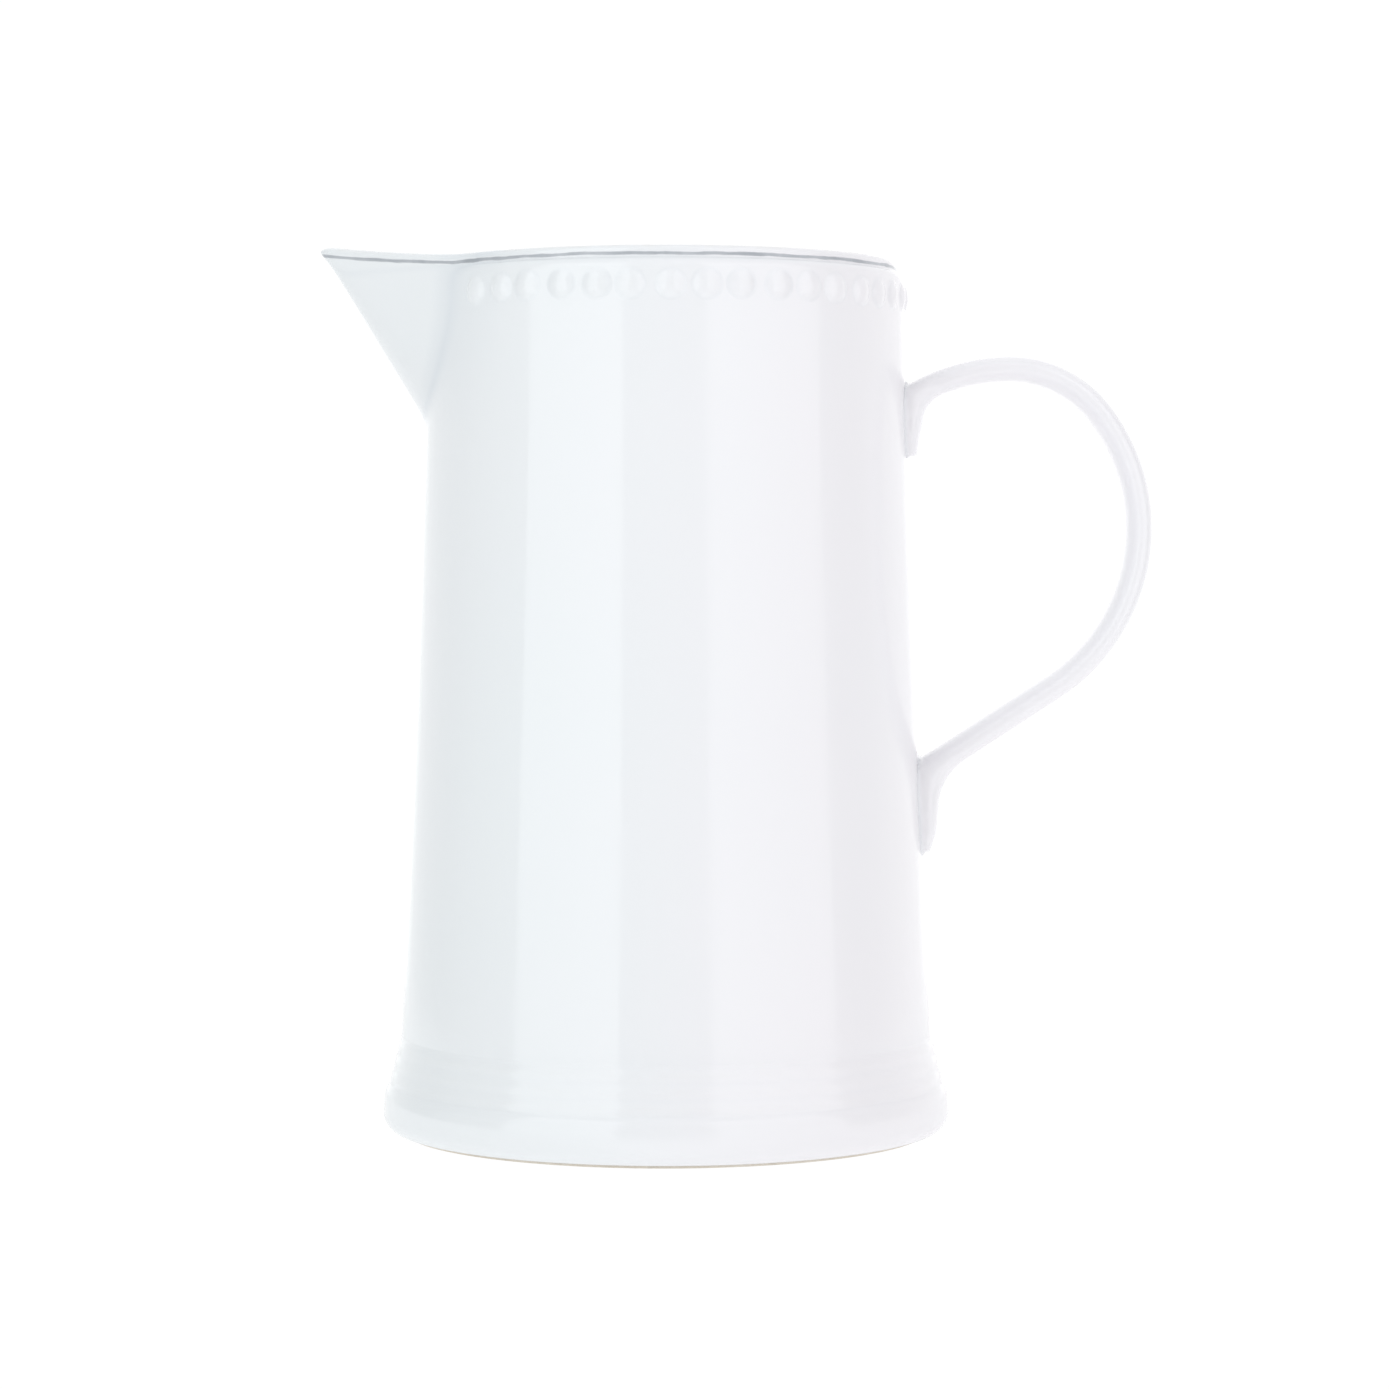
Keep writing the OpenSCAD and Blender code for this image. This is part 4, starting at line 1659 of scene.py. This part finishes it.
    def upper_tail(self) -> list[Station]:
        """Lists the rings of the upper tail, from the strap to its low end."""
        inner = self.inlet_radius - self.thickness
        centre = self.polar(self.inlet, inner - self.upper_bend, self.inlet_end)
        turns = (0, 2, 4, 6, 8, 10.4)
        over_line = [self.polar(self.inlet, self.inlet_radius, self.inlet_end + turn) for turn in turns]
        in_wall = self.form.wall_radius(0.2) - self.sunk
        over_line += [Vector((in_wall, self.upper_meets)), Vector((in_wall - 0.0004, centre.y + 0.0015))]
        rings = []
        for index in range(self.inlet_steps + 1):
            share = index / self.inlet_steps
            under = self.polar(centre, self.upper_bend, self.inlet_end + (180.0 - self.inlet_end) * share)
            over = self.along(over_line, share)
            width = self.half_width + (self.upper_root - self.half_width) * ease(share, 0.0, 0.9)
            rings.append(Station(under, over, width, ease(share, 0.3, 1.0)))
        top = Vector((centre.x - self.upper_bend, centre.y))
        low = Vector((self.upper_corner, self.upper_end))
        middle = Vector(((2.0 * low.x + top.x) / 3.0, (centre.y + low.y) / 2.0))
        front = self.tail_front(top, middle, low, self.form.wall_radius(self.upper_end) - self.sunk)
        tail = self.tail_rings(front, over_line[-1].y, self.upper_root, self.upper_tip)[1:]
        return rings + [Station(ring.over, ring.under, ring.half_width, 1.0) for ring in tail]

    def stations(self) -> list[Station]:
        """Lists every ring, from the low end of the lower tail to the low end of the upper one."""
        lower, strap = self.lower_tail()
        strap += self.arc(self.grip, self.grip_radius, -self.grip_turn, self.crown_turn, 1.2)
        strap += self.arc(self.crown, self.crown_radius, self.crown_turn, 90.0, 1.5)
        strap += self.arc(self.inlet, self.inlet_radius, 90.0, self.inlet_end, 1.2)
        upper = self.upper_tail()
        self.strap_from = len(lower)
        self.strap_to = len(lower) + len(strap) + 1
        return lower + strap + upper

    def section(self, station: Station, angle: float) -> Vector:
        """Gives one point of a ring, whose section is a soft rounded rectangle.

        Args:
            station: The ring.
            angle: The angle round the ring, 0 at its +Y side and a quarter turn at its outer face.

        Returns:
            The point in the frame.
        """
        power = 2.0 / (self.squareness + self.flat_tail * station.wrap)
        sine, cosine = math.sin(angle), math.cos(angle)
        through = math.copysign(abs(sine) ** power, sine)
        across = math.copysign(abs(cosine) ** power, cosine) * station.half_width
        middle = (station.under + station.over) / 2.0
        spot = middle + (station.over - station.under) / 2.0 * through
        around = self.form.wall_radius(spot.y)
        spot.x -= station.wrap * (around - math.sqrt(around**2 - across**2))
        return Vector((spot.x, across, spot.y))

    def flare(self, mesh: bmesh.types.BMesh) -> None:
        """Spreads the skin where it comes near the wall, so that it runs out in a soft fillet, and darkens
        that fillet with glaze pooling and painted shade.
        """
        pool_and_shade = float_layer(mesh, "pool_and_shade")
        mesh.normal_update()
        for vert in mesh.verts:
            out = Vector((vert.co.x, vert.co.y, 0.0))
            gap = out.length - self.form.wall_radius(vert.co.z)
            near = max(0.0, min(self.skirt, gap))
            if near >= self.skirt:
                continue
            lift = self.skirt - math.sqrt(self.skirt**2 - (self.skirt - near) ** 2)
            wall_normal = out.normalized()
            sideways = vert.normal - wall_normal * vert.normal.dot(wall_normal)
            share = min(1.0, 1.25 * sideways.length)
            if sideways.length > 1e-4:
                vert.co += sideways.normalized() * lift * share
            # Glaze pooling and painted shade in the fillet where the handle meets the wall.
            vert[pool_and_shade] = max(0.0, 1.0 - near / self.skirt) ** 1.5

    def build(self) -> None:
        """Builds the handle as one skin and cuts it into the strap and its two tails."""
        stations = self.stations()
        mesh = bmesh.new()
        ring = bmesh.ops.create_circle(mesh, segments=self.around, radius=1.0)["verts"]
        start = list(ring) + list(mesh.edges)
        up = (0, 0, 1)
        steps = len(stations) - 1
        bmesh.ops.spin(
            mesh, geom=start, cent=(0, 0, 0), axis=up, dvec=up, angle=0.0, steps=steps, use_merge=False
        )
        station_layer = float_layer(mesh, "station")
        for vert in mesh.verts:
            index = round(vert.co.z)
            vert[station_layer] = index
            vert.co = self.section(stations[index], math.atan2(vert.co.y, vert.co.x))
        bmesh.ops.holes_fill(mesh, edges=open_edges(mesh), sides=0)
        bmesh.ops.recalc_face_normals(mesh, faces=mesh.faces)
        self.flare(mesh)
        remember_normals(mesh)
        last = len(stations)
        parts = (
            ("handle_lower_tail_glazed", "handle_lower_tail", 0, self.strap_from),
            ("handle_strap_glazed", "handle_strap", self.strap_from, self.strap_to),
            ("handle_upper_tail_glazed", "handle_upper_tail", self.strap_to, last),
        )
        for name, node, low, high in parts:
            as_piece(self.part(mesh, low, high), name, self.finishes.white, [node])
        mesh.free()

    def part(self, whole: bmesh.types.BMesh, low: int, high: int) -> bmesh.types.BMesh:
        """Cuts the rings from low to high out of the handle and closes the cuts."""
        mesh = whole.copy()
        layer = mesh.verts.layers.float["station"]
        keep_faces(mesh, lambda face: low < mean_of(face, layer) + 0.01 < high)
        cut_layer = mark_whole(mesh)
        made = bmesh.ops.holes_fill(mesh, edges=open_edges(mesh), sides=0)
        cap(made["faces"], cut_layer)
        turn_outward(mesh)
        mesh.verts.layers.float.remove(mesh.verts.layers.float["station"])
        return mesh


# ---------------------------------------------------------------- the studio


@dataclass(frozen=True)
class Softbox:
    """One large soft light.

    Attributes:
        name: Its name.
        turn: Its direction from the camera's side, in degrees, to the left when negative.
        distance: How far it stands from the pitcher.
        width: Its width.
        height: Its height.
        lift: The height of its middle.
        radiance: How bright its face is beside the white of the backdrop.
        tint: Its colour.
    """

    name: str
    turn: float
    distance: float
    width: float
    height: float
    lift: float
    radiance: float
    tint: tuple[float, float, float]

    def build(self) -> None:
        """Puts the light in the scene, facing the pitcher."""
        data = bpy.data.lights.new(self.name, "AREA")
        data.shape = "RECTANGLE"
        data.size = self.width
        data.size_y = self.height
        data.energy = self.radiance * math.pi * self.width * self.height
        data.color = self.tint
        light = bpy.data.objects.new(self.name, data)
        bpy.context.scene.collection.objects.link(light)
        angle = math.radians(self.turn)
        light.location = (self.distance * math.sin(angle), -self.distance * math.cos(angle), self.lift)
        aim = Vector((0.0, 0.0, self.lift)) - light.location
        light.rotation_mode = "QUATERNION"
        light.rotation_quaternion = aim.to_track_quat("-Z", "Y")
        light.visible_camera = False


@dataclass
class Studio:
    """The floor, the surroundings, the lights and the camera.

    The eye_ values and the backdrop are what the camera sees for itself. The other levels are what
    lights the pitcher and what its glaze mirrors. The floor fades out of the mirror image between
    mirror_near and mirror_far from its middle, so that the wall doesn't show a far edge of it.
    """

    lens: float = 99.3
    sensor: float = 36.0
    clip: tuple[float, float] = (0.05, 50.0)
    camera_distance: float = 1.054
    camera_height: float = 0.1528
    camera_pitch: float = 1.79
    camera_yaw: float = 0.426
    floor_size: float = 12.0
    front_grey: float = 0.26
    back_white: float = 1.12
    back_range: tuple[float, float] = (0.1, 0.95)
    edge_white: float = 1.35
    edge_range: tuple[float, float] = (0.84, 1.0)
    top_white: tuple = (1.24, 1.25, 1.265, 1.0)
    top_range: tuple[float, float] = (0.3, 0.95)
    top_share: float = 0.75
    swing: float = 0.18
    backdrop: float = 1.02
    floor_glow: float = 0.66
    floor_pale: float = 0.42
    eye_glow: float = 0.965
    eye_pale: float = 0.06
    mirror_near: float = 0.3
    mirror_far: float = 0.6
    lights: tuple[Softbox, ...] = (
        Softbox("softbox left", -43.0, 1.7, 1.48, 2.6, 0.75, 1.19, (0.965, 1.0, 1.0)),
        Softbox("softbox right", 47.5, 1.7, 1.86, 2.6, 0.75, 0.92, (1.0, 0.985, 1.0)),
    )

    def build(self) -> None:
        """Builds the whole studio."""
        self.build_floor()
        self.build_world()
        for light in self.lights:
            light.build()
        self.build_camera()
        scene = bpy.context.scene
        scene.view_settings.view_transform = "Standard"
        scene.view_settings.look = "None"

    def build_floor(self) -> None:
        """Builds the pale floor, which the glaze mirrors only close by, as it does a table's top."""
        mesh = bmesh.new()
        bmesh.ops.create_grid(mesh, x_segments=2, y_segments=2, size=self.floor_size / 2.0)
        data = bpy.data.meshes.new("floor")
        mesh.to_mesh(data)
        mesh.free()
        floor = bpy.data.objects.new("floor", data)
        bpy.context.scene.collection.objects.link(floor)
        material, make, shader = new_material("pale floor")
        place = make.node("ShaderNodeTexCoord").outputs["Object"]
        path = make.node("ShaderNodeLightPath").outputs
        to_eye = path["Is Camera Ray"]
        pale = make.fit(to_eye, 0.0, 1.0, self.floor_pale, self.eye_pale, smooth=False)
        cloud = make.fit(make.noise(place, 3.0, 2.0), 0.0, 1.0, 0.97, 1.0, smooth=False)
        shade = make.times(pale, cloud)
        colour = make.node("ShaderNodeCombineColor", {0: shade, 1: shade, 2: shade}).outputs[0]
        make.link(colour, shader.inputs["Base Color"])
        glow = make.fit(to_eye, 0.0, 1.0, self.floor_glow, self.eye_glow, smooth=False)
        make.link(glow, shader.inputs["Emission Strength"])
        out = make.node("ShaderNodeVectorMath", {0: place}, operation="LENGTH").outputs["Value"]
        unseen = make.times(path["Is Glossy Ray"], make.fit(out, self.mirror_near, self.mirror_far))
        clear = make.node("ShaderNodeBsdfTransparent").outputs[0]
        both = make.node("ShaderNodeMixShader", {0: unseen, 1: shader.outputs[0], 2: clear}).outputs[0]
        make.link(both, make.of_kind("OUTPUT_MATERIAL").inputs["Surface"])
        shader.inputs["Roughness"].default_value = 0.9
        shader.inputs["Specular IOR Level"].default_value = 0.1
        shader.inputs["Emission Color"].default_value = WHITE
        data.materials.append(material)

    def build_world(self) -> None:
        """Builds the surroundings: white to the eye, grey in front and white behind for reflections."""
        world = bpy.data.worlds.new("studio")
        bpy.context.scene.world = world
        world.use_nodes = True
        make = NodeMaker(world.node_tree)
        way = make.node("ShaderNodeTexCoord").outputs["Generated"]
        parts = make.node("ShaderNodeSeparateXYZ", {0: way}).outputs
        swung = make.plus(parts[1], make.times(parts[0], self.swing))
        behind = make.fit(swung, *self.back_range)
        above = make.fit(parts[2], *self.top_range)
        grey = make.mix(behind, grey_of(self.front_grey), grey_of(self.back_white))
        grey = make.mix(make.fit(parts[1], *self.edge_range), grey, grey_of(self.edge_white))
        grey = make.mix(make.times(above, self.top_share), grey, self.top_white)
        to_eye = make.node("ShaderNodeLightPath").outputs["Is Camera Ray"]
        colour = make.mix(to_eye, grey, grey_of(self.backdrop))
        make.link(colour, make.of_kind("BACKGROUND").inputs["Color"])

    def build_camera(self) -> None:
        """Builds the camera, level with the middle of the pitcher and a little to its left."""
        data = bpy.data.cameras.new("camera")
        data.lens = self.lens
        data.sensor_width = self.sensor
        data.clip_start, data.clip_end = self.clip
        camera = bpy.data.objects.new("camera", data)
        bpy.context.scene.collection.objects.link(camera)
        camera.location = (0.0, -self.camera_distance, self.camera_height)
        camera.rotation_euler = (math.radians(90.0 - self.camera_pitch), 0.0, -math.radians(self.camera_yaw))
        bpy.context.scene.camera = camera


def main() -> None:
    """Builds the pitcher and its studio."""
    logging.basicConfig(level=logging.INFO, format="%(name)s: %(message)s")
    form = PotForm()
    finishes = Finishes()
    skin = PotSkin(form)
    Vessel(form, skin, finishes).build()
    PaintedLine(form, skin, finishes).build()
    skin.whole.free()
    BeadRow(form, finishes).build()
    Plinth(form, finishes).build()
    Handle(form, finishes).build()
    Studio().build()


if __name__ == "__main__":
    main()
